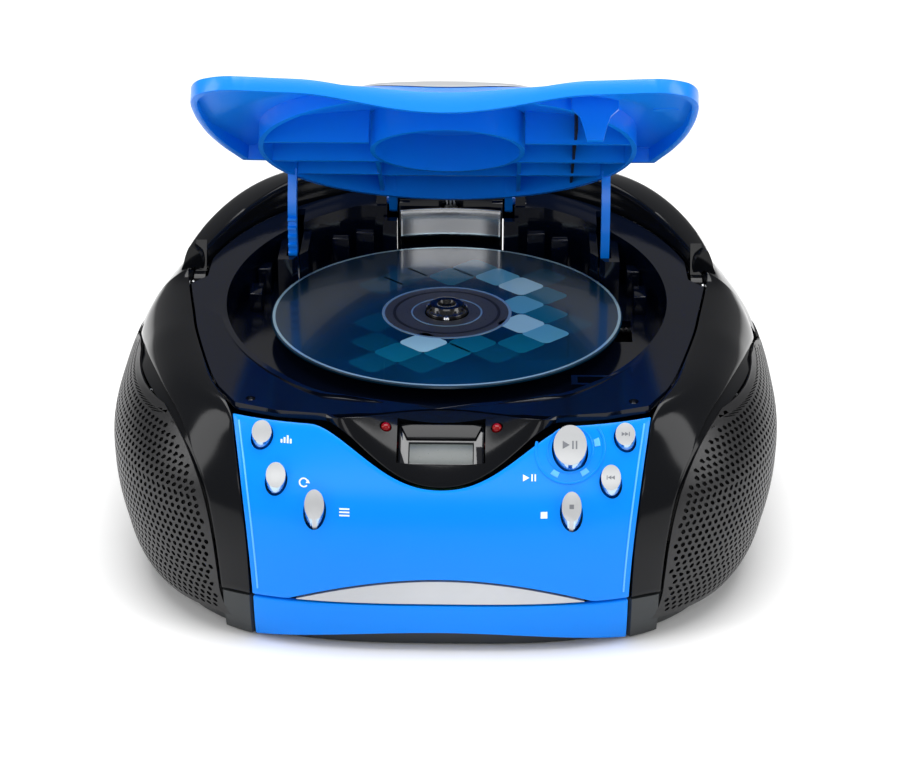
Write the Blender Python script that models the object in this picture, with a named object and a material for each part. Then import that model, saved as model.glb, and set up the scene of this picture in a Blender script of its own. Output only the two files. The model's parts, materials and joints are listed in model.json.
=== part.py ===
"""Portable CD player with side speakers and a spring-opened lid, modelled piece by piece.

Frame: +Z up, the front faces -Y, X = 0 is the plane of symmetry, and the origin lies on the
ground under the disc's axis.  Sizes are written in millimetres; meshes are built in metres.
"""

import math

import bmesh
import bpy
import numpy as np
from mathutils import Matrix, Vector

MM = 0.001
GAP = 0.4            # space left between neighbouring pieces
WELD = 1e-6          # metres

# ---- cabinet -------------------------------------------------------------------------------
BODY_Y = 1.0         # centre of the cabinet's plan
SQUARENESS = 3.0     # superellipse exponent of the cabinet's plan
# height, half width, depth in front of BODY_Y, depth behind BODY_Y
BODY_PROFILE = (
    (0.0, 98.0, 99.0, 90.0),
    (10.0, 106.0, 100.8, 95.0),
    (22.0, 110.0, 101.5, 98.0),
    (38.0, 112.6, 101.0, 99.5),
    (52.0, 112.0, 97.5, 99.5),
    (66.0, 105.5, 90.0, 99.0),
    (80.0, 94.0, 80.0, 97.5),
    (90.0, 85.0, 72.0, 94.0),
)
WALL = 2.2
SEAM_H = 17.5        # height of the seam between the upper and the lower cabinet
GROUND_GAP = 0.8     # the cabinet's lower edge above the ground
FLOOR_Z = 3.2
FLOOR_T = 2.4

# ---- disc and well -------------------------------------------------------------------------
DISC_Z = 75.0
DISC_R = 60.0
WELL_R = 75.0
WELL_FRONT_Y = -64.5
WELL_REAR_Y = 67.5
WELL_FLOOR_Z = 69.0

# ---- deck ----------------------------------------------------------------------------------
DECK_SLOPE = math.tan(math.radians(5.3))
DECK_T = 2.4
LEDGE_R = 86.0       # the deck's rear edge, about the disc's axis

# ---- lid -----------------------------------------------------------------------------------
HINGE_Y = 72.0
HINGE_Z = 89.0
LID_OPEN = math.radians(38.8)
LID_T = 2.0
RIM_H = 4.6
RING_Z = 83.0        # lower edge of the lid's rings above the disc's axis, lid shut
RING_SLOPE = math.tan(math.radians(3.1))
ARM_X = 54.9
ARM_R = 38.5

# ---- front panel ---------------------------------------------------------------------------
PANEL_LOW_X = 60.0
PANEL_WIDEN = 6.5
PANEL_TOP_H = 72.8
SCOOP_X = 37.0       # half width of the scoop that holds the display
SCOOP_DEPTH = 17.0
TRIM_X = 48.5        # half width of the crescent trim
TRIM_RISE = 9.0
BUTTON_TILT = math.radians(68.0)   # the buttons' axes above the horizontal
BUTTON_PROUD = 4.0
# name, x, height where its axis meets the panel, radius
BUTTONS = (
    ("bass_button", -56.5, 68.3, 3.1),
    ("repeat_button", -51.7, 57.0, 3.1),
    ("program_button", -39.4, 49.0, 3.1),
    ("play_button", 40.6, 66.6, 5.2),
    ("next_button", 58.0, 68.3, 3.1),
    ("back_button", 53.5, 57.0, 3.1),
    ("stop_button", 41.2, 49.0, 3.1),
)

# ---- handle --------------------------------------------------------------------------------
HANDLE_Y = 17.0      # the handle's pivot axis
HANDLE_Z = 78.4


# ================================ materials and mesh helpers =================================

def clear_scene():
    for obj in list(bpy.data.objects):
        bpy.data.objects.remove(obj)


def material(name, color, roughness, metallic=0.0):
    made = bpy.data.materials.get(name) or bpy.data.materials.new(name)
    made.use_nodes = True
    shader = made.node_tree.nodes["Principled BSDF"]
    shader.inputs["Base Color"].default_value = (*color, 1.0)
    shader.inputs["Roughness"].default_value = roughness
    shader.inputs["Metallic"].default_value = metallic
    return made


BLUE = material("gloss_blue", (0.0, 0.22, 0.85), 0.22)
BLACK = material("gloss_black", (0.008, 0.010, 0.014), 0.12)
DECK_INK = material("deck_black", (0.004, 0.010, 0.028), 0.15)
GREY = material("dark_grey", (0.055, 0.065, 0.065), 0.35)
MESH_BLACK = material("grille_black", (0.012, 0.012, 0.012), 0.4, 0.6)
SILVER = material("silver_white", (0.80, 0.80, 0.78), 0.3)
CHROME = material("bright_metal", (0.75, 0.78, 0.80), 0.15, 1.0)
STEEL = material("steel", (0.55, 0.56, 0.58), 0.3, 1.0)
SMOKED = material("smoked_window", (0.02, 0.025, 0.03), 0.08)
LCD = material("lcd_grey", (0.10, 0.14, 0.13), 0.4)
RED = material("led_red", (0.35, 0.01, 0.01), 0.2)
DISC_LABEL = material("disc_label", (0.0, 0.06, 0.12), 0.25, 0.3)
RUBBER = material("rubber", (0.02, 0.02, 0.02), 0.8)
BOARD = material("circuit_board", (0.03, 0.16, 0.07), 0.5)
PAPER = material("speaker_paper", (0.03, 0.03, 0.03), 0.9)
LAMINATE = material("iron_laminate", (0.25, 0.24, 0.22), 0.5, 0.8)
CELL_WRAP = material("cell_wrap", (0.12, 0.13, 0.14), 0.4)
WHITE = material("white_plastic", (0.75, 0.75, 0.72), 0.4)


def add_object(name, verts, faces, mat, sharp_angle=35.0):
    """One mesh object from points in millimetres, with its faces turned outwards."""
    mesh = bpy.data.meshes.new(name)
    mesh.from_pydata([tuple(c * MM for c in v) for v in verts], [], faces)
    bm = bmesh.new()
    bm.from_mesh(mesh)
    bmesh.ops.recalc_face_normals(bm, faces=bm.faces)
    bm.to_mesh(mesh)
    bm.free()
    mesh.shade_smooth()
    mesh.set_sharp_from_angle(angle=math.radians(sharp_angle))
    mesh.materials.append(mat)
    obj = bpy.data.objects.new(name, mesh)
    bpy.context.scene.collection.objects.link(obj)
    return obj


def sheet(name, outer, inner, mat, wrap=False):
    """A closed shell between two grids of points; wrap joins each row's end to its start."""
    rows = len(outer)
    cols = len(outer[0])
    verts = [p for row in outer for p in row] + [p for row in inner for p in row]
    back = rows * cols
    faces = []
    for i in range(rows - 1):
        for j in range(cols if wrap else cols - 1):
            k = (j + 1) % cols
            a, b = i * cols + j, i * cols + k
            c, d = (i + 1) * cols + k, (i + 1) * cols + j
            faces.append((a, b, c, d))
            faces.append((back + d, back + c, back + b, back + a))
    border = []
    for j in range(cols if wrap else cols - 1):
        k = (j + 1) % cols
        border.append((j, k))
        border.append(((rows - 1) * cols + k, (rows - 1) * cols + j))
    if not wrap:
        for i in range(rows - 1):
            border.append(((i + 1) * cols, i * cols))
            border.append((i * cols + cols - 1, (i + 1) * cols + cols - 1))
    for a, b in border:
        faces.append((b, a, back + a, back + b))
    return add_object(name, verts, faces, mat)


def offset_grid(grid, distance):
    """The grid moved along its own normals; positive goes outwards from the cabinet."""
    pts = np.array(grid, float)
    across = np.gradient(pts, axis=1)
    along = np.gradient(pts, axis=0)
    normal = np.cross(across, along)
    normal /= np.linalg.norm(normal, axis=2, keepdims=True)
    if ((pts - np.array((0.0, 0.0, 40.0))) * normal).sum() < 0:
        normal = -normal
    return (pts + normal * distance).tolist()


def shell(name, grid, thickness, mat):
    return sheet(name, grid, offset_grid(grid, -thickness), mat)


def prism(name, outline, low, high, mat):
    """An extruded plan outline; low and high are heights, or functions of (x, y)."""
    low_z = low if callable(low) else lambda x, y: low
    high_z = high if callable(high) else lambda x, y: high
    count = len(outline)
    verts = [(x, y, low_z(x, y)) for x, y in outline]
    verts += [(x, y, high_z(x, y)) for x, y in outline]
    faces = [tuple(range(count)), tuple(range(2 * count - 1, count - 1, -1))]
    for i in range(count):
        j = (i + 1) % count
        faces.append((i, j, count + j, count + i))
    return add_object(name, verts, faces, mat)


def block(name, low, high, mat):
    outline = ((low[0], low[1]), (high[0], low[1]), (high[0], high[1]), (low[0], high[1]))
    return prism(name, outline, low[2], high[2], mat)


def circle(radius, count, center=(0.0, 0.0)):
    return [(center[0] + radius * math.cos(2 * math.pi * i / count),
             center[1] + radius * math.sin(2 * math.pi * i / count)) for i in range(count)]


def aim(axis, origin):
    """The matrix that takes local +Z to axis and the local origin to origin."""
    turn = Vector((0, 0, 1)).rotation_difference(Vector(axis).normalized())
    return Matrix.Translation(Vector(origin)) @ turn.to_matrix().to_4x4()


def turned(name, profile, count, origin, axis, mat):
    """A body of revolution about axis; profile is a closed loop of (radius, height)."""
    place = aim(axis, origin)
    verts = []
    rings = []
    for radius, height in profile:
        if radius < 1e-6:
            rings.append([len(verts)])
            verts.append(place @ Vector((0, 0, height)))
            continue
        rings.append(list(range(len(verts), len(verts) + count)))
        verts += [place @ Vector((x, y, height)) for x, y in circle(radius, count)]
    faces = []
    for ring, after in zip(rings, rings[1:] + rings[:1]):
        for i in range(count):
            j = (i + 1) % count
            corners = [ring[i % len(ring)], ring[j % len(ring)],
                       after[j % len(after)], after[i % len(after)]]
            face = tuple(dict.fromkeys(corners))
            if len(face) > 2:
                faces.append(face)
    return add_object(name, [tuple(v) for v in verts], faces, mat)


def rod(name, start, end, radius, mat, count=16):
    length = (Vector(end) - Vector(start)).length
    profile = ((0, 0), (radius, 0), (radius, length), (0, length))
    return turned(name, profile, count, start, Vector(end) - Vector(start), mat)


def tube(name, points, radius, mat, sides):
    """A round wire through the given points, with flat ends."""
    pts = [Vector(p) for p in points]
    verts = []
    side = None
    for i, p in enumerate(pts):
        run = (pts[min(i + 1, len(pts) - 1)] - pts[max(i - 1, 0)]).normalized()
        side = (side or Vector((1.0, 0.2, 0.1))) - run * run.dot(side or Vector((1.0, 0.2, 0.1)))
        side.normalize()
        other = run.cross(side)
        for k in range(sides):
            a = 2 * math.pi * k / sides
            verts.append(tuple(p + (side * math.cos(a) + other * math.sin(a)) * radius))
    last = (len(pts) - 1) * sides
    faces = [tuple(range(sides)), tuple(range(last + sides - 1, last - 1, -1))]
    for i in range(len(pts) - 1):
        for k in range(sides):
            j = (k + 1) % sides
            faces.append((i * sides + k, i * sides + j, (i + 1) * sides + j, (i + 1) * sides + k))
    return add_object(name, verts, faces, mat)


def weld(mesh):
    """Closes the hairline slivers that a Boolean can leave."""
    bm = bmesh.new()
    bm.from_mesh(mesh)
    bmesh.ops.remove_doubles(bm, verts=bm.verts, dist=WELD)
    bmesh.ops.dissolve_degenerate(bm, edges=bm.edges, dist=WELD)
    bm.to_mesh(mesh)
    bm.free()


def boolean(target, tools, operation, solver):
    """Cuts tools from target or joins them to it, and removes the tools."""
    for tool in tools:
        modifier = target.modifiers.new(operation, "BOOLEAN")
        modifier.operation = operation
        modifier.solver = solver
        modifier.object = tool
        graph = bpy.context.evaluated_depsgraph_get()
        mesh = bpy.data.meshes.new_from_object(target.evaluated_get(graph))
        target.modifiers.clear()
        target.data = mesh
        weld(mesh)
        bpy.data.objects.remove(tool)
    return target


def cut(target, *tools, solver="EXACT"):
    return boolean(target, tools, "DIFFERENCE", solver)


def join(target, *tools, solver="EXACT"):
    return boolean(target, tools, "UNION", solver)


def move_to(obj, place):
    """Moves a piece made at the origin by a matrix whose distances are in millimetres."""
    turn, shift = place.to_3x3().to_4x4(), place.to_translation() * MM
    obj.data.transform(Matrix.Translation(shift) @ turn)


def mirrored(obj, name):
    """A copy of obj on the other side of X = 0."""
    mesh = obj.data.copy()
    mesh.transform(Matrix.Scale(-1, 4, (1, 0, 0)))
    mesh.flip_normals()
    copy = bpy.data.objects.new(name, mesh)
    bpy.context.scene.collection.objects.link(copy)
    return copy


def set_origin(obj, point):
    """Puts the object's origin at point without moving its surface."""
    place = Vector(point) * MM
    obj.data.transform(Matrix.Translation(obj.location - place))
    obj.location = place
    return obj


def lerp(a, b, t):
    return a + (b - a) * t


def smooth(t):
    t = min(max(t, 0.0), 1.0)
    return t * t * (3.0 - 2.0 * t)


def spline(points, t):
    """A smooth curve through the points; t runs from 0 to 1."""
    pts = np.array(points, float)
    place = min(max(t, 0.0), 1.0) * (len(pts) - 1)
    i = min(int(place), len(pts) - 2)
    u = place - i
    before = pts[max(i - 1, 0)]
    after = pts[min(i + 2, len(pts) - 1)]
    m0 = (pts[i + 1] - before) / 2
    m1 = (after - pts[i]) / 2
    h00 = 2 * u ** 3 - 3 * u ** 2 + 1
    h10 = u ** 3 - 2 * u ** 2 + u
    h01 = -2 * u ** 3 + 3 * u ** 2
    h11 = u ** 3 - u ** 2
    return h00 * pts[i] + h10 * m0 + h01 * pts[i + 1] + h11 * m1


# ===================================== shared surfaces =======================================

def profile_at(height):
    """Half width, front depth and rear depth of the cabinet at a height."""
    rows = np.array(BODY_PROFILE)
    heights = rows[:, 0]
    height = min(max(height, heights[0]), heights[-1])
    i = min(int(np.searchsorted(heights, height, side="right")) - 1, len(rows) - 2)
    slopes = np.gradient(rows[:, 1:], heights, axis=0)
    span = heights[i + 1] - heights[i]
    u = (height - heights[i]) / span
    h00 = 2 * u ** 3 - 3 * u ** 2 + 1
    h10 = u ** 3 - 2 * u ** 2 + u
    h01 = -2 * u ** 3 + 3 * u ** 2
    h11 = u ** 3 - u ** 2
    return (h00 * rows[i, 1:] + h10 * span * slopes[i]
            + h01 * rows[i + 1, 1:] + h11 * span * slopes[i + 1])


def signed_power(value, power):
    return math.copysign(abs(value) ** power, value)


def body_point(angle, height, inset=0.0):
    """A point of the cabinet's surface; angle runs from +X towards the rear."""
    width, front, rear = profile_at(height)
    depth = rear if math.sin(angle) > 0 else front
    power = 2.0 / SQUARENESS
    return ((width - inset) * signed_power(math.cos(angle), power),
            BODY_Y + (depth - inset) * signed_power(math.sin(angle), power), height)


def front_point(x, height, inset=0.0):
    """The point of the cabinet's front surface at x and a height."""
    width, front, _ = profile_at(height)
    share = min(abs(x) / (width - inset), 1.0)
    y = BODY_Y - (front - inset) * (1.0 - share ** SQUARENESS) ** (1.0 / SQUARENESS)
    return (x, y, height)


def front_angle(x, height):
    """The plan angle, between -90 degrees and 0, at which the surface has this x."""
    width = profile_at(height)[0]
    return -math.acos(min(x / width, 1.0) ** (SQUARENESS / 2.0))


def rear_angle(y, height):
    """The plan angle, between 0 and 90 degrees, at which the surface has this y."""
    rear = profile_at(height)[2]
    return math.asin(min((y - BODY_Y) / rear, 1.0) ** (SQUARENESS / 2.0))


def deck_z(y):
    return HINGE_Z - (HINGE_Y - y) * DECK_SLOPE


def panel_edge(height):
    return PANEL_LOW_X + PANEL_WIDEN * (max(height, 0.0) / PANEL_TOP_H) ** 2.5


def scoop_h(x):
    """Height of the front panel's upper edge."""
    t = min(abs(x) / SCOOP_X, 1.0)
    return PANEL_TOP_H - SCOOP_DEPTH * (1.0 - t ** 2.2) ** 1.8


def trim_h(x):
    """Height of the crescent trim's upper edge."""
    t = min(abs(x) / TRIM_X, 1.0)
    return SEAM_H + TRIM_RISE * (1.0 - t ** 2)


def button_axis():
    return Vector((0.0, -math.cos(BUTTON_TILT), math.sin(BUTTON_TILT)))


# The caps lie between two rails, listed in pairs from the seam up and back:
# the inner rail follows the panel and the deck, the outer one the speaker grille.
INNER_RAIL = ((61.0, None, SEAM_H + GAP), (61.6, None, 35.7), (63.2, None, 51.5),
              (65.4, None, 64.8), (67.6, -73.6, 73.8), (75.2, -56.5, 77.2),
              (82.6, -29.0, 79.9), (85.6, -13.0, 81.4), (89.0, 7.0, 83.6), (89.4, 12.0, 86.4))
OUTER_RAIL = ((70.4, None, SEAM_H + GAP), (71.8, None, 35.7), (74.6, None, 50.5),
              (79.5, None, 61.0), (85.0, -65.5, 68.0), (91.5, -51.5, 71.6),
              (98.3, -31.0, 71.6), (102.3, -15.0, 69.5), (105.3, 0.0, 66.6), (106.6, 12.0, 62.0))


def rail_points(rail):
    """A rail's points, with y worked out where it lies on the cabinet's surface."""
    return [front_point(x, h) if y is None else (x, y, h) for x, y, h in rail]


# ==================================== cabinet pieces =========================================

def cap_grid(rows, cols):
    """The right cap's outer surface: a crowned strip between its two rails."""
    inner = rail_points(INNER_RAIL)
    outer = rail_points(OUTER_RAIL)
    grid = []
    for i in range(rows):
        t = i / (rows - 1)
        a = spline(inner, t)
        b = spline(outer, t)
        crown = 0.4 + 3.4 * smooth((t - 0.3) / 0.5)
        lift = np.array((0.55, -0.30 * (1 - t), 0.75)) * crown
        grid.append([tuple(a + (b - a) * c + lift * 4 * c * (1 - c))
                     for c in (j / (cols - 1) for j in range(cols))])
    return grid


def build_caps():
    right = shell("right_cap", cap_grid(25, 6), WALL, BLACK)
    mirrored(right, "left_cap")


GRILLE_LOW_H = 7.0
GRILLE_TOP_H = 69.8
GRILLE_REAR_Y = 60.0
GRILLE_STEP_H = 52.0     # above this the grille's rear border runs forward to the cap


def plan_angle(x, y, height):
    """The plan angle of body_point for a point near the cabinet's surface."""
    width, front, rear = profile_at(height)
    power = SQUARENESS / 2
    depth = rear if y > BODY_Y else front
    return math.atan2(signed_power((y - BODY_Y) / depth, power), signed_power(x / width, power))


def grille_limits(height):
    """Plan angles of the grille's front and rear borders at a height."""
    rail = [spline(rail_points(OUTER_RAIL), i / 60) for i in range(61)]
    heights = [p[2] for p in rail]
    angles = [plan_angle(*p) for p in rail]
    peak = heights.index(max(heights))
    h = height + 1.0
    front = float(np.interp(h, heights[:peak + 1], angles[:peak + 1])) + 0.012
    rear = rear_angle(GRILLE_REAR_Y, min(max(height, SEAM_H), GRILLE_STEP_H))
    if h > heights[-1]:
        rear = float(np.interp(h, heights[:peak - 1:-1], angles[:peak - 1:-1]))
    elif height > GRILLE_STEP_H:
        share = (height - GRILLE_STEP_H) / (heights[-1] - 1.0 - GRILLE_STEP_H)
        rear = lerp(rear, angles[-1], smooth(share))
    return front, rear


def grille_grid(rows, cols):
    """The right grille's surface, row by row upwards, each row from front to rear."""
    grid = []
    for i in range(rows):
        r = i / (rows - 1)
        height = lerp(GRILLE_LOW_H, GRILLE_TOP_H, 1 - (1 - r) ** 1.5)
        front, rear = grille_limits(height)
        grid.append([body_point(lerp(front, rear, j / (cols - 1)), height)
                     for j in range(cols)])
    return grid


def build_grilles():
    right = shell("right_grille", grille_grid(14, 15), 1.0, MESH_BLACK)
    mirrored(right, "left_grille")


def panel_grid(rows, cols):
    """The front panel's outer surface between the seam and the scooped upper edge."""
    grid = []
    for i in range(rows):
        row = []
        for j in range(cols):
            c = 2 * j / (cols - 1) - 1
            x0 = c * PANEL_LOW_X
            low = trim_h(x0) + GAP
            height = lerp(low, scoop_h(x0), i / (rows - 1))
            row.append(front_point(c * panel_edge(height), height))
        grid.append(row)
    return grid


def button_base(x, height):
    return Vector(front_point(x, height))


def surface_normal(x, height):
    """The outward normal of the front surface, in the plane X = constant."""
    low = Vector(front_point(x, height - 1.0))
    high = Vector(front_point(x, height + 1.0))
    up = (high - low).normalized()
    return Vector((0.0, -up.z, up.y))


def build_front_panel():
    panel = shell("front_panel", panel_grid(7, 21), WALL, BLUE)
    axis = button_axis()
    holes = []
    for name, x, height, radius in BUTTONS:
        base = button_base(x, height)
        holes.append(rod("hole", base - axis * 9, base + axis * 9, radius + 0.6, BLUE, 16))
    cut(panel, *holes)


def build_lower_skirt():
    rows, cols = 4, 17
    end = front_angle(PANEL_LOW_X, SEAM_H)
    start = -math.pi - end
    grid = []
    for i in range(rows):
        row = []
        for j in range(cols):
            c = 2 * j / (cols - 1) - 1
            low = GROUND_GAP + 6.0 * (1 - c * c)
            height = lerp(low, SEAM_H - GAP, i / (rows - 1))
            row.append(body_point(lerp(start, end, j / (cols - 1)), height))
        grid.append(row)
    shell("lower_skirt", grid, WALL, BLUE)


def build_silver_trim():
    rows, cols = 4, 25
    grid = []
    for i in range(rows):
        row = []
        for j in range(cols):
            x = (2 * j / (cols - 1) - 1) * (TRIM_X - 2.6)
            row.append(front_point(x, lerp(SEAM_H + GAP, trim_h(x) - GAP, i / (rows - 1)), 0.5))
        grid.append(row)
    shell("silver_trim", grid, 1.6, SILVER)


# ---- the display's bezel lies in the scoop between the panel and the well --------------------
BEZEL_X = 32.0
BEZEL_TOP_Y = -67.0
BEZEL_TOP_Z = 70.4
LCD_X = 10.2
WINDOW_X = 14.0


def bezel_top(x):
    """The bezel's upper edge, which runs along the front of the well."""
    s = smooth(abs(x) / SCOOP_X)
    edge = front_point(SCOOP_X, PANEL_TOP_H + 1.6)
    return np.array((x, lerp(BEZEL_TOP_Y, edge[1], s), lerp(BEZEL_TOP_Z, edge[2], s)))


def bezel_point(x, r, inset=0.0):
    """A point of the bezel: r is 0 at the panel's edge and 1 at the well."""
    low = np.array(front_point(x, scoop_h(x))) + np.array((0.0, WALL + 0.5, -0.2))
    high = bezel_top(x)
    crown = 10.0 * r * (1 - r) * max(high[1] - low[1], 0.0) / 28.0
    point = lerp(low, high, r) + np.array((0.0, -0.45, 0.89)) * (crown - inset)
    return tuple(point)


WINDOW_ROWS = (0.24, 0.80)


def bezel_grid(rows, cols):
    return [[bezel_point((2 * j / (cols - 1) - 1) * BEZEL_X, i / (rows - 1))
             for j in range(cols)] for i in range(rows)]


def window_frame_point(x, r, depth):
    """A point over the window, in the flat plane that the window lies in."""
    low = np.array(bezel_point(0.0, WINDOW_ROWS[0]))
    high = np.array(bezel_point(0.0, WINDOW_ROWS[1]))
    up = (high - low) / np.linalg.norm(high - low)
    out = np.array((0.0, -up[2], up[1]))
    point = lerp(low, high, r) + out * depth
    return (x, point[1], point[2])


def window_slab(name, half_x, r_low, r_high, depth_low, depth_high, mat):
    """A flat slab parallel to the display's window."""
    corners = []
    for depth in (depth_low, depth_high):
        for x, r in ((-half_x, r_low), (half_x, r_low), (half_x, r_high), (-half_x, r_high)):
            corners.append(window_frame_point(x, r, depth))
    faces = [(0, 1, 2, 3), (7, 6, 5, 4)]
    faces += [(i, (i + 1) % 4, 4 + (i + 1) % 4, 4 + i) for i in range(4)]
    return add_object(name, corners, faces, mat)


LED_X = 17.6
LED_ROW = 0.72
LED_R = 1.5


def build_display():
    bezel = shell("display_bezel", bezel_grid(7, 21), 1.6, BLACK)
    opening = window_slab("opening", WINDOW_X, 0.0, 1.0, -8.0, 8.0, BLACK)
    leds = []
    holes = [opening]
    for side in (-1, 1):
        base = Vector(bezel_point(side * LED_X, LED_ROW))
        lean = Vector((0, -0.5, 0.87))
        holes.append(rod("hole", base - lean * 6, base + lean * 6, LED_R + 0.4, BLACK, 16))
        profile = ((0, -10.8), (LED_R, -10.8), (LED_R, 0), (LED_R * 0.7, 0.7), (0, 1.0))
        leds.append(turned("led", profile, 12, base, lean, RED))
    cut(bezel, *holes)
    ends = [Vector(bezel_point(side * LED_X, LED_ROW)) - lean * 10.4 for side in (-1, 1)]
    strip = rod("indicator_leds", ends[0], ends[1], 1.1, RED, 8)
    join(strip, *leds)
    window_slab("display_window", WINDOW_X - GAP, 0.03, 0.97, -1.9, -0.7, SMOKED)
    window_slab("lcd_panel", LCD_X + 2.0, 0.05, 0.74, -4.6, -2.4, LCD)


# ---- buttons, their switches and board -------------------------------------------------------
STEM_PLANE = 68.0    # where every button's stem ends, measured along the buttons' axis
SWITCH_GAP = 1.4


def build_button(name, x, height, radius):
    """A round button whose top is parallel to the panel, with two ears and a stem behind it."""
    axis = button_axis()
    base = button_base(x, height)
    reach = base.dot(axis)
    bottom = STEM_PLANE - reach
    profile = ((0, bottom), (1.5, bottom), (1.5, -10.4), (radius, -8.8), (radius, 14.0),
               (0, 14.0))
    button = turned(name, profile, 18, base, axis, SILVER)
    ears = block("ears", (-radius - 1.3, -1.1, -8.6), (radius + 1.3, 1.1, -7.2), SILVER)
    move_to(ears, aim(axis, base))
    join(button, ears)
    normal = surface_normal(x, height)
    top = block("top", (-15, -15, 0), (15, 15, 20), SILVER)
    move_to(top, aim(normal, base + normal * BUTTON_PROUD))
    cut(button, top)
    set_origin(button, base)


def build_control_board():
    """The board under the buttons, square to their axis, with one switch for each button."""
    axis = button_axis()
    along = Vector((0.0, axis.z, -axis.y))
    origin = axis * (STEM_PLANE - SWITCH_GAP)
    corners = []
    for depth in (-5.0, -3.4):
        for x, run in ((-46, -74), (46, -74), (61, -60), (61, -44), (-61, -44), (-61, -60)):
            corners.append(origin + axis * depth + along * run + Vector((x, 0, 0)))
    faces = [tuple(range(6)), tuple(range(11, 5, -1))]
    faces += [(i, (i + 1) % 6, 6 + (i + 1) % 6, 6 + i) for i in range(6)]
    board = add_object("control_board", [tuple(c) for c in corners], faces, BOARD)
    switches = []
    for _, x, height, _ in BUTTONS:
        foot = button_base(x, height)
        foot = foot - axis * (foot.dot(axis) - origin.dot(axis))
        switches.append(rod("switch", foot - axis * 4.0, foot, 2.6, BOARD, 8))
    join(board, *switches)


# ---- deck ------------------------------------------------------------------------------------

def deck_top(x, y):
    """The deck's upper surface: a gentle slope, sunk in front of the disc for the lid's lip."""
    sink = deck_z(bezel_top(x)[1]) - bezel_top(x)[2] if abs(x) < SCOOP_X else 0.0
    return deck_z(y) - max(sink, 0.0) * smooth((-58.0 - y) / 6.0)


def deck_outline():
    """The deck's plan, from the left front corner round by the right, front edge first."""
    front = []
    for i in range(-12, 13):
        x = i / 12 * SCOOP_X
        front.append((x, bezel_top(x)[1] + GAP + 0.6 + 1.2 * smooth((abs(x) - 20.0) / 8.0)))
    side = [(52.0, front_point(52.0, 75.0)[1] + 0.8), (65.6, -73.0)]
    rail = rail_points(INNER_RAIL)
    for t in (0.52, 0.58, 0.65, 0.72, 0.79, 0.86, 0.885):
        x, y, _ = spline(rail, t)
        side.append((x - 0.9, y))
    side += [(82.9, 12.0), (82.4, 24.6)]
    arc = []
    start = math.atan2(24.6, 82.4)
    for i in range(1, 13):
        angle = lerp(start, math.pi / 2, i / 12)
        arc.append((LEDGE_R * math.cos(angle), LEDGE_R * math.sin(angle)))
    right = side + arc
    left = [(-x, y) for x, y in reversed(right[:-1])]
    return front + right + left


def well_outline(radius, front_y, rear_y, count=48):
    return [(x, min(max(y, front_y), rear_y)) for x, y in circle(radius, count)]


BRACKET_X = 25.2
LUG_X = 21.0
ARM_SLOT_X = 2.3
BOX_X = 5.0
PIN_R = 1.5
CATCH_X = 48.0
CATCH_Y = -50.5
SPRING_X = -2.1


def well_box(x_low, x_high, y_low, y_high, top):
    return block("box", (x_low, y_low, WELL_FLOOR_Z - 1), (x_high, y_high, top), DECK_INK)


def build_deck():
    """The top case: plate, well, arm boxes and hinge brackets in one moulding."""
    deck = prism("deck", deck_outline(), lambda x, y: deck_top(x, y) - DECK_T, deck_top,
                 DECK_INK)
    tub = prism("tub", well_outline(WELL_R + 2, WELL_FRONT_Y - 1.6, WELL_REAR_Y + 2),
                WELL_FLOOR_Z - 2, lambda x, y: deck_top(x, y) - 0.5, DECK_INK)
    hollow = prism("hollow", well_outline(WELL_R, WELL_FRONT_Y, WELL_REAR_Y),
                   WELL_FLOOR_Z, 110.0, DECK_INK)
    join(deck, tub)
    cut(deck, hollow)
    additions = []
    for side in (-1, 1):
        low, high = sorted((side * (ARM_X - BOX_X), side * (ARM_X + BOX_X)))
        additions.append(well_box(low, high, 27.0, 62.0, 83.6))
        low, high = sorted((side * 19.4, side * 24.6))
        additions.append(well_box(low, high, 62.6, 66.2, 84.4))
        low, high = sorted((side * (BRACKET_X - 1.8), side * (BRACKET_X + 1.8)))
        outline = ((68.5, 86.0), (77.0, 86.0), (75.0, 93.4), (69.6, 93.4))
        verts = [(low, y, z) for y, z in outline] + [(high, y, z) for y, z in outline]
        faces = [(0, 1, 2, 3), (7, 6, 5, 4)]
        faces += [(i, (i + 1) % 4, 4 + (i + 1) % 4, 4 + i) for i in range(4)]
        additions.append(add_object("bracket", verts, faces, DECK_INK))
    additions.append(well_box(CATCH_X - 6.4, CATCH_X + 6.4, CATCH_Y - 3.6, CATCH_Y + 3.6, 74.0))
    join(deck, *additions)
    cuts = [rod("clear", (0, 0, WELL_FLOOR_Z + 2.5), (0, 0, 120), DISC_R + 1.2, DECK_INK, 48)]
    for side in (-1, 1):
        x = side * ARM_X
        cuts.append(block("slot", (x - ARM_SLOT_X, 30.2, 40), (x + ARM_SLOT_X, 64, 120), DECK_INK))
        low, high = sorted((side * 18.8, side * 23.2))
        cuts.append(block("slot", (low, 66.8, 60), (high, 78, 120), DECK_INK))
        cuts.append(rod("hole", (side * 27.4, HINGE_Y, HINGE_Z), (side * 15, HINGE_Y, HINGE_Z),
                        PIN_R + 0.4, DECK_INK, 16))
        cuts.append(rod("hole", (side * 61, -70, 60), (side * 61, -70, 90), 1.6, DECK_INK, 10))
    cuts.append(rod("hole", (0, 0, 60), (0, 0, 90), 18.0, DECK_INK, 32))
    cuts.append(block("slot", (10, -9, 60), (63.4, 9, 90), DECK_INK))
    cuts.append(block("slot", (CATCH_X - 4.4, CATCH_Y - 2.4, WELL_FLOOR_Z),
                      (CATCH_X + 4.4, CATCH_Y + 2.4, 80), DECK_INK))
    cuts.append(block("slot", (SPRING_X - 1.2, 66.8, 79), (SPRING_X + 5.4, 80, 120), DECK_INK))
    cut(deck, *cuts)
    join(deck, rod("boss", (SPRING_X - 2.4, HINGE_Y, HINGE_Z), (SPRING_X + 6.6, HINGE_Y, HINGE_Z),
                   1.9, DECK_INK, 12))


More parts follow.
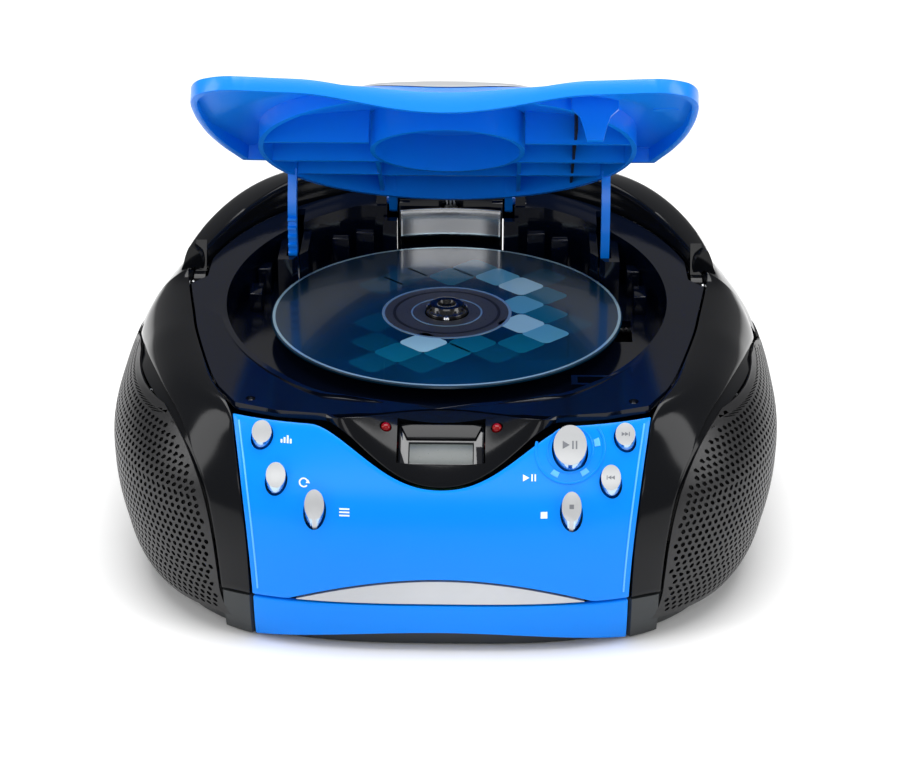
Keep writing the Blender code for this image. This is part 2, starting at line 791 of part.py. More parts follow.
def build_well_backplate():
    """The polished plate at the back of the well."""
    outer = []
    inner = []
    for z in (74.6, 88.2):
        angles = [math.radians(lerp(74.0, 106.0, i / 12)) for i in range(13)]
        outer.append([(65.6 * math.cos(a), 65.6 * math.sin(a), z) for a in angles])
        inner.append([(66.6 * math.cos(a), 66.6 * math.sin(a), z) for a in angles])
    sheet("well_backplate", outer, inner, CHROME)


# ---- lid -------------------------------------------------------------------------------------
# y, half width: from the front edge back along the wing, then in behind it along the well
LID_WING = ((-75.5, 62.0), (-75.0, 67.0), (-73.2, 72.4), (-69.0, 77.2), (-60.0, 80.2),
            (-45.0, 80.8), (-30.0, 80.2), (-16.0, 78.8), (0.0, 75.9), (12.0, 72.8), (19.0, 71.0))
LID_TAIL = ((19.4, 62.6), (26.0, 60.0), (34.0, 56.2), (42.0, 51.0), (50.0, 44.4), (57.0, 36.8),
            (62.0, 29.8), (66.0, 21.5), (68.6, 12.0))
LIP_DROP = 5.4
LIP_X = 46.0


def lid_low(x, y):
    """The rim's lower edge with the lid shut; the lip dips in the middle of the front."""
    t = min(abs(x) / LIP_X, 1.0)
    drop = LIP_DROP * (1 - t * t) ** 2 * smooth((-34.0 - y) / 34.0)
    return deck_z(y) + 1.8 - drop


def lid_top(x, y):
    t = min((x / 81.0) ** 2 + ((y + 3.0) / 73.0) ** 2, 1.0)
    return lid_low(x, y) + RIM_H + 9.5 * (1 - t) ** 0.9


def lid_front_bow(x, y):
    """The front edge runs back towards the middle."""
    return 6.3 * (1 - min(abs(x) / 68.0, 1.0) ** 2) * smooth((-30.0 - y) / 42.0)


def lid_grid(inset, rim, cols):
    """One side of the lid's skin with its rim folded down; inset and rim move the inner side."""
    wing = [(y + (inset if k == 0 else 0.0), w - inset) for k, (y, w) in enumerate(LID_WING)]
    wing[-1] = (wing[-1][0] - inset, wing[-1][1])
    tail = [(y, w - inset) for y, w in LID_TAIL]
    tail[0] = (tail[0][0] - inset, tail[0][1])
    tail[-1] = (tail[-1][0] - inset, tail[-1][1])
    if inset:
        wing[-2] = (wing[-2][0] - 1.0, wing[-2][1])
    grid = []
    stations = [wing[0]] + wing + tail + [tail[-1]]
    for i, (y, width) in enumerate(stations):
        row = []
        edge_row = i in (0, len(stations) - 1)
        for j in range(-1, cols + 1):
            t = 2 * min(max(j, 0), cols - 1) / (cols - 1) - 1
            x = t * width
            yy = y + lid_front_bow(x, y)
            edge = edge_row or j in (-1, cols)
            z = lid_low(x, yy) if edge else lid_top(x, yy) - rim
            row.append((x, yy, z))
        grid.append(row)
    return grid


def ring_low(x, y):
    return RING_Z + y * RING_SLOPE


def ribbon(name, path, thickness, low, high, closed=False):
    """A wall of even thickness along a plan path, between two height functions."""
    pts = [Vector((x, y, 0)) for x, y in path]
    count = len(pts)
    verts = []
    for i, p in enumerate(pts):
        before = pts[(i - 1) % count] if closed or i else p
        after = pts[(i + 1) % count] if closed or i < count - 1 else p
        run = (after - before).normalized()
        side = Vector((-run.y, run.x, 0)) * thickness / 2
        for q in (p + side, p - side):
            verts.append((q.x, q.y, low(q.x, q.y)))
            verts.append((q.x, q.y, high(q.x, q.y)))
    faces = []
    for i in range(count if closed else count - 1):
        a, b = 4 * i, 4 * ((i + 1) % count)
        faces.append((a, b, b + 1, a + 1))
        faces.append((a + 2, a + 3, b + 3, b + 2))
        faces.append((a + 1, b + 1, b + 3, a + 3))
        faces.append((a, a + 2, b + 2, b))
    if not closed:
        faces.append((0, 1, 3, 2))
        e = 4 * (count - 1)
        faces.append((e, e + 2, e + 3, e + 1))
    return add_object(name, verts, faces, BLUE)


def offset_height(surface, rise):
    return lambda x, y: surface(x, y) + rise


def skin_middle(x, y):
    return lid_top(x, y) - LID_T * 0.6


RING_R = 63.0
HUB_RING_R = 25.4
RIBS = (((26.2, -9.0), (62.0, -9.0)), ((22.0, 15.0), (60.6, 15.0)), ((24.4, 33.0), (53.0, 33.0)),
        ((24.4, 18.0), (24.4, 56.0)))
ARM_LOW = math.radians(48.0)
ARM_WIDTH = 5.4
ARM_T = 3.0
TOOTH_COUNT = 83     # teeth that a full circle of the arm's rack would have
PINION_TEETH = 10
TEETH_ABOVE = 3      # rack teeth above the hinge's level with the lid open
RACK_R = ARM_R + ARM_WIDTH / 2
TOOTH_TALL = 0.7


def arm_point(radius, angle):
    """A point of the arm's side view; angle runs down from the hinge's front horizontal."""
    return (HINGE_Y - radius * math.cos(angle), HINGE_Z - radius * math.sin(angle))


def side_plate(name, x, thickness, outline, mat):
    """A flat plate square to X, from its (y, z) outline."""
    count = len(outline)
    verts = [(x - thickness / 2, y, z) for y, z in outline]
    verts += [(x + thickness / 2, y, z) for y, z in outline]
    faces = [tuple(range(count)), tuple(range(2 * count - 1, count - 1, -1))]
    faces += [(i, (i + 1) % count, count + (i + 1) % count, count + i) for i in range(count)]
    return add_object(name, verts, faces, mat)


def lid_arm(x, toothed):
    """One of the lid's curved arms, with the lid shut; it runs down into its box."""
    start = math.radians(-8.0) + LID_OPEN
    end = ARM_LOW + LID_OPEN
    shift = LID_OPEN
    outline = []
    steps = 14
    for i in range(steps + 1):
        angle = lerp(start - math.radians(28), end, i / steps)
        outline.append(arm_point(ARM_R - ARM_WIDTH / 2, angle))
    pitch = 2 * math.pi / TOOTH_COUNT
    front = []
    if toothed:
        first = -TEETH_ABOVE
        while shift + (first + 0.5) * pitch < end - pitch * 0.5:
            middle = shift + (first + 0.5) * pitch
            front.append(arm_point(RACK_R - TOOTH_TALL, middle - pitch * 0.25))
            front.append(arm_point(RACK_R + TOOTH_TALL, middle - pitch * 0.11))
            front.append(arm_point(RACK_R + TOOTH_TALL, middle + pitch * 0.11))
            front.append(arm_point(RACK_R - TOOTH_TALL, middle + pitch * 0.25))
            first += 1
        front = [arm_point(RACK_R, start - math.radians(28)), arm_point(RACK_R, start - 0.24),
                 arm_point(RACK_R, start - 0.12),
                 arm_point(RACK_R, shift - TEETH_ABOVE * pitch - 0.01)] + front
        front.append(arm_point(RACK_R - TOOTH_TALL, end))
    else:
        for i in range(steps + 1):
            front.append(arm_point(RACK_R, lerp(start - math.radians(28), end, i / steps)))
    return side_plate("arm", x, ARM_T, outline + front[::-1], BLUE)


def shut_pieces():
    """Every piece of the lid's moulding, with the lid shut."""
    pieces = [ribbon("ring", circle(RING_R, 40), 1.6, ring_low, skin_middle, closed=True),
              ribbon("ring", circle(HUB_RING_R, 20), 1.5, ring_low, skin_middle, closed=True)]
    for side in (-1, 1):
        for step, ((x0, y0), (x1, y1)) in enumerate(RIBS):
            path = [(side * lerp(x0, x1, k / 4), lerp(y0, y1, k / 4)) for k in range(5)]
            low = offset_height(ring_low, 0.3 + 0.3 * step)
            pieces.append(ribbon("rib", path, 1.4, low, skin_middle))
        pieces.append(ribbon("gusset", [(side * 48.0, 31.5), (side * 54.0, 31.5)], 1.4,
                             lambda x, y: 92.0 + (54.9 - abs(x)) * 0.2, skin_middle))
    path = [(-24.4 + 48.8 * k / 6, 38.0) for k in range(7)]
    pieces.append(ribbon("rib", path, 1.4, offset_height(ring_low, 2.0), skin_middle))
    return pieces


def lug(side):
    """A hinge lug with the lid shut: an eye round the pin and a web to the lid."""
    eye = [(HINGE_Y + 4.2 * math.cos(a), HINGE_Z + 4.2 * math.sin(a))
           for a in (math.radians(lerp(-120.0, 80.0, i / 10)) for i in range(11))]
    outline = eye + [(66.0, 94.5), (58.6, 95.6), (58.6, 87.9), (66.0, 86.0)]
    return side_plate("lug", side * LUG_X, 2.8, outline, BLUE)


def open_lid(obj):
    """Turns a piece made with the lid shut to the open rest position."""
    hinge = Vector((0.0, HINGE_Y, HINGE_Z)) * MM
    turn = (Matrix.Translation(hinge) @ Matrix.Rotation(-LID_OPEN, 4, "X")
            @ Matrix.Translation(-hinge))
    obj.data.transform(turn)
    return set_origin(obj, (0.0, HINGE_Y, HINGE_Z))


def catch_hook():
    """The T-shaped catch under the lid's front right corner."""
    outline = ((-7.5, 13.0), (-7.5, 8.0), (-5.0, 5.6), (-4.0, 3.0), (-2.6, -2.6), (2.6, -2.6),
               (4.0, 3.0), (5.0, 5.6), (7.5, 8.0), (7.5, 13.0))
    base = skin_middle(CATCH_X, CATCH_Y) - 13.0
    verts = []
    for y in (CATCH_Y - 0.7, CATCH_Y + 0.7):
        verts += [(CATCH_X + u, y, min(base + v, skin_middle(CATCH_X + u, y)))
                  for u, v in outline]
    count = len(outline)
    faces = [tuple(range(count)), tuple(range(2 * count - 1, count - 1, -1))]
    faces += [(i, (i + 1) % count, count + (i + 1) % count, count + i) for i in range(count)]
    return add_object("catch", verts, faces, BLUE)


def build_lid():
    lid = sheet("lid", lid_grid(0.0, 0.0, 13), lid_grid(LID_T, LID_T, 13), BLUE)
    join(lid, *shut_pieces(), solver="MANIFOLD")
    notches = []
    for side in (-1, 1):
        low, high = sorted((side * 18.2, side * 28.6))
        notches.append(block("notch", (low, 62.4, 70), (high, 80, 110), BLUE))
    cut(lid, *notches, solver="MANIFOLD")
    fittings = [lug(-1), lug(1), lid_arm(-ARM_X, True), lid_arm(ARM_X, False), catch_hook()]
    fittings += [rod("pin", (side * LUG_X, HINGE_Y, HINGE_Z), (side * 26.8, HINGE_Y, HINGE_Z),
                     PIN_R, BLUE, 12) for side in (-1, 1)]
    join(lid, *fittings, solver="MANIFOLD")
    open_lid(lid)


def build_badge():
    """The plain domed disc on top of the lid."""
    radius = 36.0
    center_y = -14.0
    rings = (1.0, 0.8, 0.45)
    count = 24
    top = []
    low = []
    for k, share in enumerate(rings):
        ring = circle(radius * share, count, (0.0, center_y))
        top.append([(x, y, lid_top(x, y) + 0.5 + (0.6 if k else 0.0) + 1.2 * (1 - share ** 2))
                    for x, y in ring])
        low.append([(x, y, lid_top(x, y) + 0.3) for x, y in ring])
    verts = [p for ring in top + low for p in ring]
    layers = len(rings)
    verts.append((0.0, center_y, lid_top(0, center_y) + 2.3))
    verts.append((0.0, center_y, lid_top(0, center_y) + 0.3))
    faces = []
    for i in range(count):
        j = (i + 1) % count
        for k in range(layers - 1):
            a, b = k * count, (k + 1) * count
            faces.append((a + i, a + j, b + j, b + i))
            c, d = (layers + k) * count, (layers + k + 1) * count
            faces.append((d + i, d + j, c + j, c + i))
        last = (layers - 1) * count
        faces.append((last + i, last + j, len(verts) - 2))
        faces.append((last + j + layers * count, last + i + layers * count, len(verts) - 1))
        faces.append((i, layers * count + i, layers * count + j, j))
    open_lid(add_object("lid_badge", verts, faces, SILVER))


PINION_ANGLE = math.radians(36.0)
MESH_SLACK = 0.35
PINION_R = PINION_TEETH * RACK_R / TOOTH_COUNT


def pinion_center():
    y, z = arm_point(RACK_R + PINION_R + MESH_SLACK, PINION_ANGLE)
    return (-ARM_X, y, z)


def build_damper():
    """The pinion that the left arm's rack turns, and the grease-filled damper behind it."""
    x, y, z = pinion_center()
    pitch = 2 * math.pi / PINION_TEETH
    rack_pitch = 2 * math.pi / TOOTH_COUNT
    phase = ((PINION_ANGLE / rack_pitch) % 1.0) * pitch
    outline = []
    for k in range(PINION_TEETH):
        middle = PINION_ANGLE + math.pi + phase + k * pitch
        for step, radius in ((-0.23, PINION_R - 0.95), (-0.09, PINION_R + TOOTH_TALL),
                             (0.09, PINION_R + TOOTH_TALL), (0.23, PINION_R - 0.95)):
            a = middle + step * pitch
            outline.append((y - radius * math.cos(a), z - radius * math.sin(a)))
    gear = side_plate("damper_gear", x, 2.6, outline, WHITE)
    cut(gear, rod("bore", (x - 5, y, z), (x + 5, y, z), 1.08, WHITE, 16))
    set_origin(gear, (x, y, z))
    base = x - 2.2
    profile = ((0, 0), (1.0, 0), (1.0, 3.6), (0, 3.6))
    axle = turned("axle", profile, 16, (base, y, z), (1, 0, 0), GREY)
    body = rod("damper", (base - 6, y, z), (base + 0.1, y, z), 4.9, GREY, 16)
    body.name = "lid_damper"
    join(body, axle)


def build_lid_spring():
    """The torsion spring round the hinge line that throws the lid open."""
    turns = 3
    steps = 9
    start_x = SPRING_X
    coil = 3.0
    points = [(start_x, HINGE_Y + 6.5, HINGE_Z - 8.0)]
    for i in range(turns * steps + 1):
        a = 2 * math.pi * i / steps
        points.append((start_x + 1.3 * i / steps, HINGE_Y + coil * math.cos(a),
                       HINGE_Z + coil * math.sin(a)))
    points.append((start_x + 1.3 * turns, HINGE_Y + 6.5, HINGE_Z - 8.0))
    tube("lid_spring", points, 0.45, STEEL, 6)


# ---- disc drive ------------------------------------------------------------------------------

def build_disc():
    profile = ((7.5, -0.6), (DISC_R, -0.6), (DISC_R, 0.6), (7.5, 0.6))
    disc = turned("disc", profile, 60, (0, 0, DISC_Z), (0, 0, 1), DISC_LABEL)
    set_origin(disc, (0, 0, DISC_Z))


def build_hub():
    """The turntable and its sprung centre cone, on the spindle."""
    profile = ((0, -11.5), (1.0, -11.5), (1.0, -5.0), (14.5, -5.0), (14.5, -0.9), (8.6, -0.9),
               (7.2, -0.9), (7.2, 2.0), (5.4, 4.2), (3.2, 4.2), (2.6, 2.6), (0, 2.6))
    hub = turned("turntable_hub", profile, 20, (0, 0, DISC_Z), (0, 0, 1), BLACK)
    set_origin(hub, (0, 0, DISC_Z))


def build_drive():
    """The drive's chassis, motors, guide rods and optical pickup."""
    chassis = block("drive_chassis", (-30, -30, 57.2), (68, 28, 59.2), BLACK)
    for low, high in (((-28, -12, 50), (12.2, 12, 70)), ((14, -13, 50), (62, 13, 70))):
        cut(chassis, block("opening", low, high, BLACK))
    ends = []
    for x in (12.0, 66.0):
        for y in (-17.0, 17.0):
            ends.append(block("post", (x - 1.5, y - 2.5, 58), (x + 1.5, y + 2.5, 65.6), BLACK))
    join(chassis, *ends)
    bores = [rod("bore", (5, y, 62.4), (70, y, 62.4), 1.6, BLACK, 16) for y in (-17.0, 17.0)]
    cut(chassis, *bores)
    rod("front_guide_rod", (10.6, -17.0, 62.4), (67.4, -17.0, 62.4), 1.2, STEEL, 16)
    rod("rear_guide_rod", (10.6, 17.0, 62.4), (67.4, 17.0, 62.4), 1.2, STEEL, 16)
    rod("sled_motor", (69.8, 17.0, 62.4), (80.0, 17.0, 62.4), 4.0, CHROME, 20)
    turned("spindle_motor", ((1.5, 0), (11.0, 0), (11.0, 9.5), (3.2, 9.5), (3.2, 11.0),
                                (1.5, 11.0)), 28, (0, 0, 50.6), (0, 0, 1), CHROME)
    sled = block("pickup_sled", (18.5, -11, 60.0), (33.5, 11, 66.0), BLACK)
    arms = [block("arm", (20, -19.6, 60.6), (32, -9, 64.4), BLACK),
            block("arm", (23, 9, 60.6), (29, 19.6, 64.4), BLACK),
            block("turret", (21.5, -4.5, 65.5), (30.5, 4.5, 69.4), BLACK)]
    join(sled, *arms)
    cut(sled, rod("bore", (10, -17.0, 62.4), (40, -17.0, 62.4), 1.6, BLACK, 16),
        rod("bore", (10, 17.0, 62.4), (40, 17.0, 62.4), 1.6, BLACK, 16))
    set_origin(sled, (26.0, 0.0, 62.4))
    profile = ((0, 0), (2.6, 0), (2.6, 0.8), (1.9, 1.5), (0, 1.9))
    lens = turned("pickup_lens", profile, 20, (26.0, 0, 69.8), (0, 0, 1), SMOKED)
    set_origin(lens, (26.0, 0.0, 69.8))


# ---- lower cabinet ---------------------------------------------------------------------------

CORNER_X = (60.8, 70.2)    # the bare corner between the skirt and the grille


def bottom_inset(angle):
    """How far the lower wall stands in: behind the skirt, flush at the corners, behind grilles."""
    x, y, _ = body_point(angle, SEAM_H)
    if y < 0 and abs(x) < CORNER_X[0]:
        return WALL + 0.8
    if y < 0 and abs(x) < CORNER_X[1]:
        return 0.0
    if y < 62.0:
        return 2.6
    return 0.0


def wall_angles(count=44):
    """Plan angles round the cabinet, closer together where the wall steps."""
    angles = [2 * math.pi * i / count for i in range(count)]
    steps = []
    for x in CORNER_X:
        a = front_angle(x, SEAM_H)
        steps += [a - 0.004, a + 0.004, -math.pi - a - 0.004, -math.pi - a + 0.004]
    a = rear_angle(62.0, SEAM_H)
    steps += [a - 0.004, a + 0.004, math.pi - a - 0.004, math.pi - a + 0.004]
    steps = [s % (2 * math.pi) for s in steps]
    kept = [a for a in angles if min(abs(a - s) for s in steps) > 0.01]
    return sorted(kept + steps)


BAY_X = 54.0
BAY_LOW_Y = -29.0
BAY_HIGH_Y = 57.0


def build_bottom_case():
    angles = wall_angles()
    heights = (GROUND_GAP, 6.0, 11.5, SEAM_H - GAP)
    outer = [[body_point(a, h, bottom_inset(a)) for a in angles] for h in heights]
    inner = [[body_point(a, h, bottom_inset(a) + WALL) for a in angles] for h in heights]
    case = sheet("bottom_case", outer, inner, GREY, wrap=True)
    outline = [body_point(a, 4.4, bottom_inset(a) + 1.5)[:2] for a in angles]
    join(case, prism("floor", outline, FLOOR_Z, FLOOR_Z + FLOOR_T, GREY))
    cut(case, block("bay", (-BAY_X + 2, BAY_LOW_Y + 1, 0), (BAY_X - 2, BAY_HIGH_Y - 2, 10), GREY))


def build_battery_bay():
    bay = block("battery_bay", (-BAY_X, BAY_LOW_Y, 6.2), (BAY_X, BAY_HIGH_Y, 35.0), BLACK)
    cut(bay, block("hollow", (-BAY_X + 1.6, BAY_LOW_Y + 1.6, 0),
                   (BAY_X - 1.6, BAY_HIGH_Y - 1.6, 33.4), BLACK))
    for row, name in enumerate(("cells_front", "cells_middle", "cells_rear")):
        y = -13.4 + 27.2 * row
        profile = ((0, 0), (13.0, 0), (13.0, 46.8), (3.4, 46.8), (3.4, 48.5), (0, 48.5))
        pair = turned(name, profile, 14, (0, y, 19.8), (1, 0, 0), CELL_WRAP)
        join(pair, turned("cell", profile, 14, (-48.2, y, 19.8), (1, 0, 0), CELL_WRAP))
    block("left_contact", (-51.6, -22, 13), (-50.6, 49, 27), STEEL)
    block("right_contact", (50.6, -22, 13), (51.6, 49, 27), STEEL)


def build_battery_door():
    door = block("battery_door", (-51.4, -26.6, 3.4), (51.4, 54.4, 5.4), GREY)
    grip = block("grip", (-9, 50, 2.4), (9, 53, 4.4), GREY)
    join(door, grip)
    set_origin(door, (0.0, -26.6, 4.4))


def build_feet():
    block("front_foot", (-58, -76, 0), (58, -66, FLOOR_Z - 0.3), RUBBER)
    block("rear_foot", (-58, 68, 0), (58, 78, FLOOR_Z - 0.3), RUBBER)


# ---- rear cabinet ----------------------------------------------------------------------------
REAR_CASE_Y = 12.6
DIAL = (48.0, 88.0, 50.0)
DIAL_R = 12.0
SWITCH_X = -48.0
SWITCH_Z = 50.0
INLET = (-57.0, 26.0)


def rear_inset(angle, height):
    x, y, _ = body_point(angle, height)
    if y < 62.0 and height < 62.5:
        return 3.2
    return 0.0


def rear_angles(count=32):
    start = rear_angle(REAR_CASE_Y, 50.0)
    angles = [lerp(start, math.pi - start, i / count) for i in range(count + 1)]
    step = rear_angle(62.0, 50.0)
    steps = [step - 0.005, step + 0.005, math.pi - step - 0.005, math.pi - step + 0.005]
    kept = [a for a in angles if min(abs(a - s) for s in steps) > 0.012]
    return sorted(kept + steps)


def rear_case_grid(inset):
    """The rear cabinet's wall, and the ledge that the handle lies on."""
    angles = rear_angles()
    grid = []
    for height in (SEAM_H + GAP, 30.0, 44.0, 56.0, 62.0, 63.2, 72.0, 80.5):
        row = []
        for a in angles:
            x, y, z = body_point(a, height, inset + rear_inset(a, height))
            row.append((x, max(y, REAR_CASE_Y + 0.01 * z), z))
        grid.append(row)
    rim = []
    for a in angles:
        x, y, _ = body_point(a, 80.5, inset)
        reach = math.hypot(x, y)
        scale = (LEDGE_R + GAP + 0.3) / reach
        yy = max(y * scale, REAR_CASE_Y + 2.0)
        rim.append((x * scale, yy, min(deck_z(yy) - 1.6, 87.0) - inset))
    middle = [tuple((np.array(p) * 0.45 + np.array(q) * 0.55) + np.array((0, 0, 0.6)))
              for p, q in zip(grid[-1], rim)]
    grid.append(middle)
    grid.append(rim)
    return grid


def build_rear_case():
    case = sheet("rear_case", rear_case_grid(0.0), rear_case_grid(WALL), BLACK)
    yokes = []
    pockets = []
    for side in (-1, 1):
        low, high = sorted((side * 81.2, side * 96.0))
        yokes.append(block("yoke", (low, 13.4, 71.4), (high, 20.6, 73.2), BLACK))
        low, high = sorted((side * 81.2, side * 90.8))
        yokes.append(block("yoke", (low, 13.4, 72.5), (high, 20.6, 80.7), BLACK))
        low, high = sorted((side * 83.6, side * 88.6))
        pockets.append(block("pocket", (low, 10.0, 73.2), (high, 23.0, 100.0), BLACK))
        pockets.append(rod("bore", (side * 80, HANDLE_Y, HANDLE_Z),
                           (side * 92, HANDLE_Y, HANDLE_Z), 1.9, BLACK, 16))
    join(case, *yokes, solver="MANIFOLD")
    x, y, z = DIAL
    cuts = pockets + [block("slot", (x - 11.2, 85, z - 3.6), (x + 11.2, 110, z + 3.6), BLACK),
            block("slot", (SWITCH_X - 9, 88, SWITCH_Z - 2.4), (SWITCH_X + 9, 110, SWITCH_Z + 2.4),
                  BLACK),
            block("slot", (INLET[0] - 9, 80, INLET[1] - 6.4), (INLET[0] + 9, 110, INLET[1] + 6.4),
                  BLACK)]
    for k in range(7):
        vent_x = -18.0 + 6.0 * k
        cuts.append(block("vent", (vent_x - 1.2, 90, 58), (vent_x + 1.2, 110, 72), BLACK))
    cut(case, *cuts, solver="MANIFOLD")


def build_rear_controls():
    x, y, z = DIAL
    profile = [(1.6, -3.0), (DIAL_R - 0.6, -3.0), (DIAL_R, -2.2), (DIAL_R, 2.2),
               (DIAL_R - 0.6, 3.0), (1.6, 3.0)]
    dial = turned("volume_dial", profile, 28, DIAL, (0, 0, 1), GREY)
    set_origin(dial, DIAL)
    pot = block("volume_pot", (x - 7, y - 7, z - 12), (x + 7, y + 5, z - 4.0), LAMINATE)
    join(pot, rod("shaft", (x, y, z - 5), (x, y, z + 2), 1.5, LAMINATE, 12))
    knob = block("function_switch", (SWITCH_X - 3, 92.2, SWITCH_Z - 1.8),
                 (SWITCH_X + 3, 99.8, SWITCH_Z + 1.8), GREY)
    set_origin(knob, (SWITCH_X, 96.0, SWITCH_Z))
    ix, iz = INLET
    inlet = block("mains_inlet", (ix - 8.6, 78, iz - 6), (ix + 8.6, 94.6, iz + 6), BLACK)
    cut(inlet, block("socket", (ix - 7, 82, iz - 3.6), (ix + 7, 100, iz + 3.6), BLACK))
    join(inlet, *[rod("pin", (ix + s * 4.3, 81, iz), (ix + s * 4.3, 91, iz), 1.2, BLACK, 10)
                  for s in (-1, 1)])


# ---- handle ----------------------------------------------------------------------------------
HANDLE_START = 21.0
HANDLE_RISE = 13.0


def handle_section(angle):
    """The handle's section at a plan angle: a blade that leans in over the ledge."""
    x, y, _ = body_point(angle, 80.5)
    reach = math.hypot(x, y)
    inner = LEDGE_R + GAP + 1.0
    start = rear_angle(HANDLE_START, 80.5)
    along = min(angle, math.pi - angle) - start
    rise = lerp(6.5, HANDLE_RISE, smooth(along / 0.9))
    base_out = 81.6
    yy = y * inner / reach
    base_in = max(min(deck_z(yy) - 1.2, 87.4), base_out) + 0.3
    middle = (reach * 0.55 + inner * 0.45)
    ring = ((reach - 0.2, base_out), (reach - 1.0, base_out + rise * 0.42),
            (lerp(reach, middle, 0.5), base_out + rise * 0.9), (middle, base_out + rise + 3.0),
            (inner + 1.2, base_in + rise * 0.85), (inner, base_in + rise * 0.45),
            (inner, base_in), (lerp(inner, reach, 0.45), lerp(base_in, base_out, 0.45) + 0.8))
    return [(x * r / reach, y * r / reach, z) for r, z in ring]


def build_handle():
    count = 28
    start = rear_angle(HANDLE_START, 80.5)
    rows = [handle_section(lerp(start, math.pi - start, i / count)) for i in range(count + 1)]
    sides = len(rows[0])
    verts = [p for row in rows for p in row]
    faces = [tuple(range(sides)), tuple(range(count * sides + sides - 1, count * sides - 1, -1))]
    for i in range(count):
        for k in range(sides):
            j = (k + 1) % sides
            faces.append((i * sides + k, i * sides + j, (i + 1) * sides + j, (i + 1) * sides + k))
    handle = add_object("handle", verts, faces, BLACK)
    ears = []
    for side in (-1, 1):
        low, high = sorted((side * 84.2, side * 88.0))
        eye = [(HANDLE_Y + 4.4 * math.cos(a), HANDLE_Z + 4.4 * math.sin(a))
               for a in (math.radians(lerp(60.0, 300.0, i / 10)) for i in range(11))]
        outline = eye + [(24.0, 86.6), (24.0, 92.0)]
        verts = [(low, y, z) for y, z in outline] + [(high, y, z) for y, z in outline]
        n = len(outline)
        faces = [tuple(range(n)), tuple(range(2 * n - 1, n - 1, -1))]
        faces += [(i, (i + 1) % n, n + (i + 1) % n, n + i) for i in range(n)]
        ears.append(add_object("ear", verts, faces, BLACK))
    join(handle, *ears)
    cut(handle, *[rod("bore", (side * 80, HANDLE_Y, HANDLE_Z), (side * 95, HANDLE_Y, HANDLE_Z),
                      1.9, BLACK, 16) for side in (-1, 1)])
    set_origin(handle, (0.0, HANDLE_Y, HANDLE_Z))
    for side, name in ((-1, "left_handle_pin"), (1, "right_handle_pin")):
        rod(name, (side * 81.8, HANDLE_Y, HANDLE_Z), (side * 90.2, HANDLE_Y, HANDLE_Z),
            1.5, STEEL, 16)


# ---- speakers and electrics ------------------------------------------------------------------
SPEAKER_AT = (85.0, -45.0, 40.0)
SPEAKER_FACING = (0.70, -0.714, 0.0)


def build_speakers():
    frame_profile = ((7.0, -22), (15, -22), (15, -14), (11.4, -13), (20.5, -4), (28, -1), (28, 1),
                     (24.6, 1), (19.8, -3), (10.6, -11.4), (7.0, -11.4))
    cone_profile = ((0, -9.6), (6.0, -9.8), (6.0, -10.8), (8.4, -10.8), (10.2, -9.8),
                    (19.2, -2.0), (21.4, 0.2), (24.2, 1.6), (27.2, 1.6), (27.2, 2.4), (23.6, 2.4),
                    (20.8, 1.0), (18.2, -1.2), (8.4, -8.8), (5.2, -5.6), (0, -4.2))
    frame = turned("right_speaker", frame_profile, 16, SPEAKER_AT, SPEAKER_FACING, CHROME)
    cone = turned("right_cone", cone_profile, 16, SPEAKER_AT, SPEAKER_FACING, PAPER)
    mirrored(frame, "left_speaker")
    mirrored(cone, "left_cone")


def build_electrics():
    core = block("transformer", (41, 63, 8), (66, 80, 34), LAMINATE)
    join(core, block("coil", (45, 60, 12), (62, 83, 30), LAMINATE))
    board = block("main_board", (-36, 80, 12), (30, 81.6, 44), BOARD)
    parts = [rod("part", (x, 74, z), (x, 80.4, z), r, BOARD, 12)
             for x, z, r in ((-28, 36, 4), (-16, 36, 4), (-28, 22, 3), (0, 38, 3), (18, 20, 4))]
    parts.append(block("chip", (-10, 77.6, 18), (6, 80.4, 28), BOARD))
    join(board, *parts)


def main():
    clear_scene()
    build_caps()
    build_grilles()
    build_front_panel()
    build_lower_skirt()
    build_silver_trim()
    build_display()
    for name, x, height, radius in BUTTONS:
        build_button(name, x, height, radius)
    build_control_board()
    build_deck()
    build_well_backplate()
    build_lid()
    build_badge()
    build_damper()
    build_lid_spring()
    build_disc()
    build_hub()
    build_drive()
    build_bottom_case()
    build_battery_bay()
    build_battery_door()
    build_feet()
    build_rear_case()
    build_rear_controls()
    build_handle()
    build_speakers()
    build_electrics()


main()
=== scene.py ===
"""The portable CD player's looks: fine surfaces, fittings and materials around the CAD frame.

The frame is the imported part, +Z up, the front facing -Y.  Sizes are written in millimetres;
meshes are built in metres.
"""

import json
import math

import bmesh
import bpy
import numpy as np
from mathutils import Matrix, Vector


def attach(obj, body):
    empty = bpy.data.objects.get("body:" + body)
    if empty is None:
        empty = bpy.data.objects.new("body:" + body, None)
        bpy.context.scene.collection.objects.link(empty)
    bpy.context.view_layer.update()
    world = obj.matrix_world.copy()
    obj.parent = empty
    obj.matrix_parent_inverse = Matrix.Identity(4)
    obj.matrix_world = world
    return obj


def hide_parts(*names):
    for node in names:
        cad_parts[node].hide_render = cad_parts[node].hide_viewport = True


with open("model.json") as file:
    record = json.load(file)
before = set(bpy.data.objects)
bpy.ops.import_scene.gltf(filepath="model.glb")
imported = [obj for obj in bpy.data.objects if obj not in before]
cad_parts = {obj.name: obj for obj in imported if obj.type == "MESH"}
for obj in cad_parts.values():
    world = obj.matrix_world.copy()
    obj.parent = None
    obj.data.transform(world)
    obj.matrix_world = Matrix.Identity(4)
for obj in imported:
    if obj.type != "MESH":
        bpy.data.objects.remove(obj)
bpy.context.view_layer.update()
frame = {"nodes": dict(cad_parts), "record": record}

MM = 0.001
GAP = 0.4            # space left between neighbouring pieces
WELD = 1e-6          # metres

# ---- cabinet -------------------------------------------------------------------------------
BODY_Y = 1.0         # centre of the cabinet's plan
SQUARENESS = 3.0     # superellipse exponent of the cabinet's plan
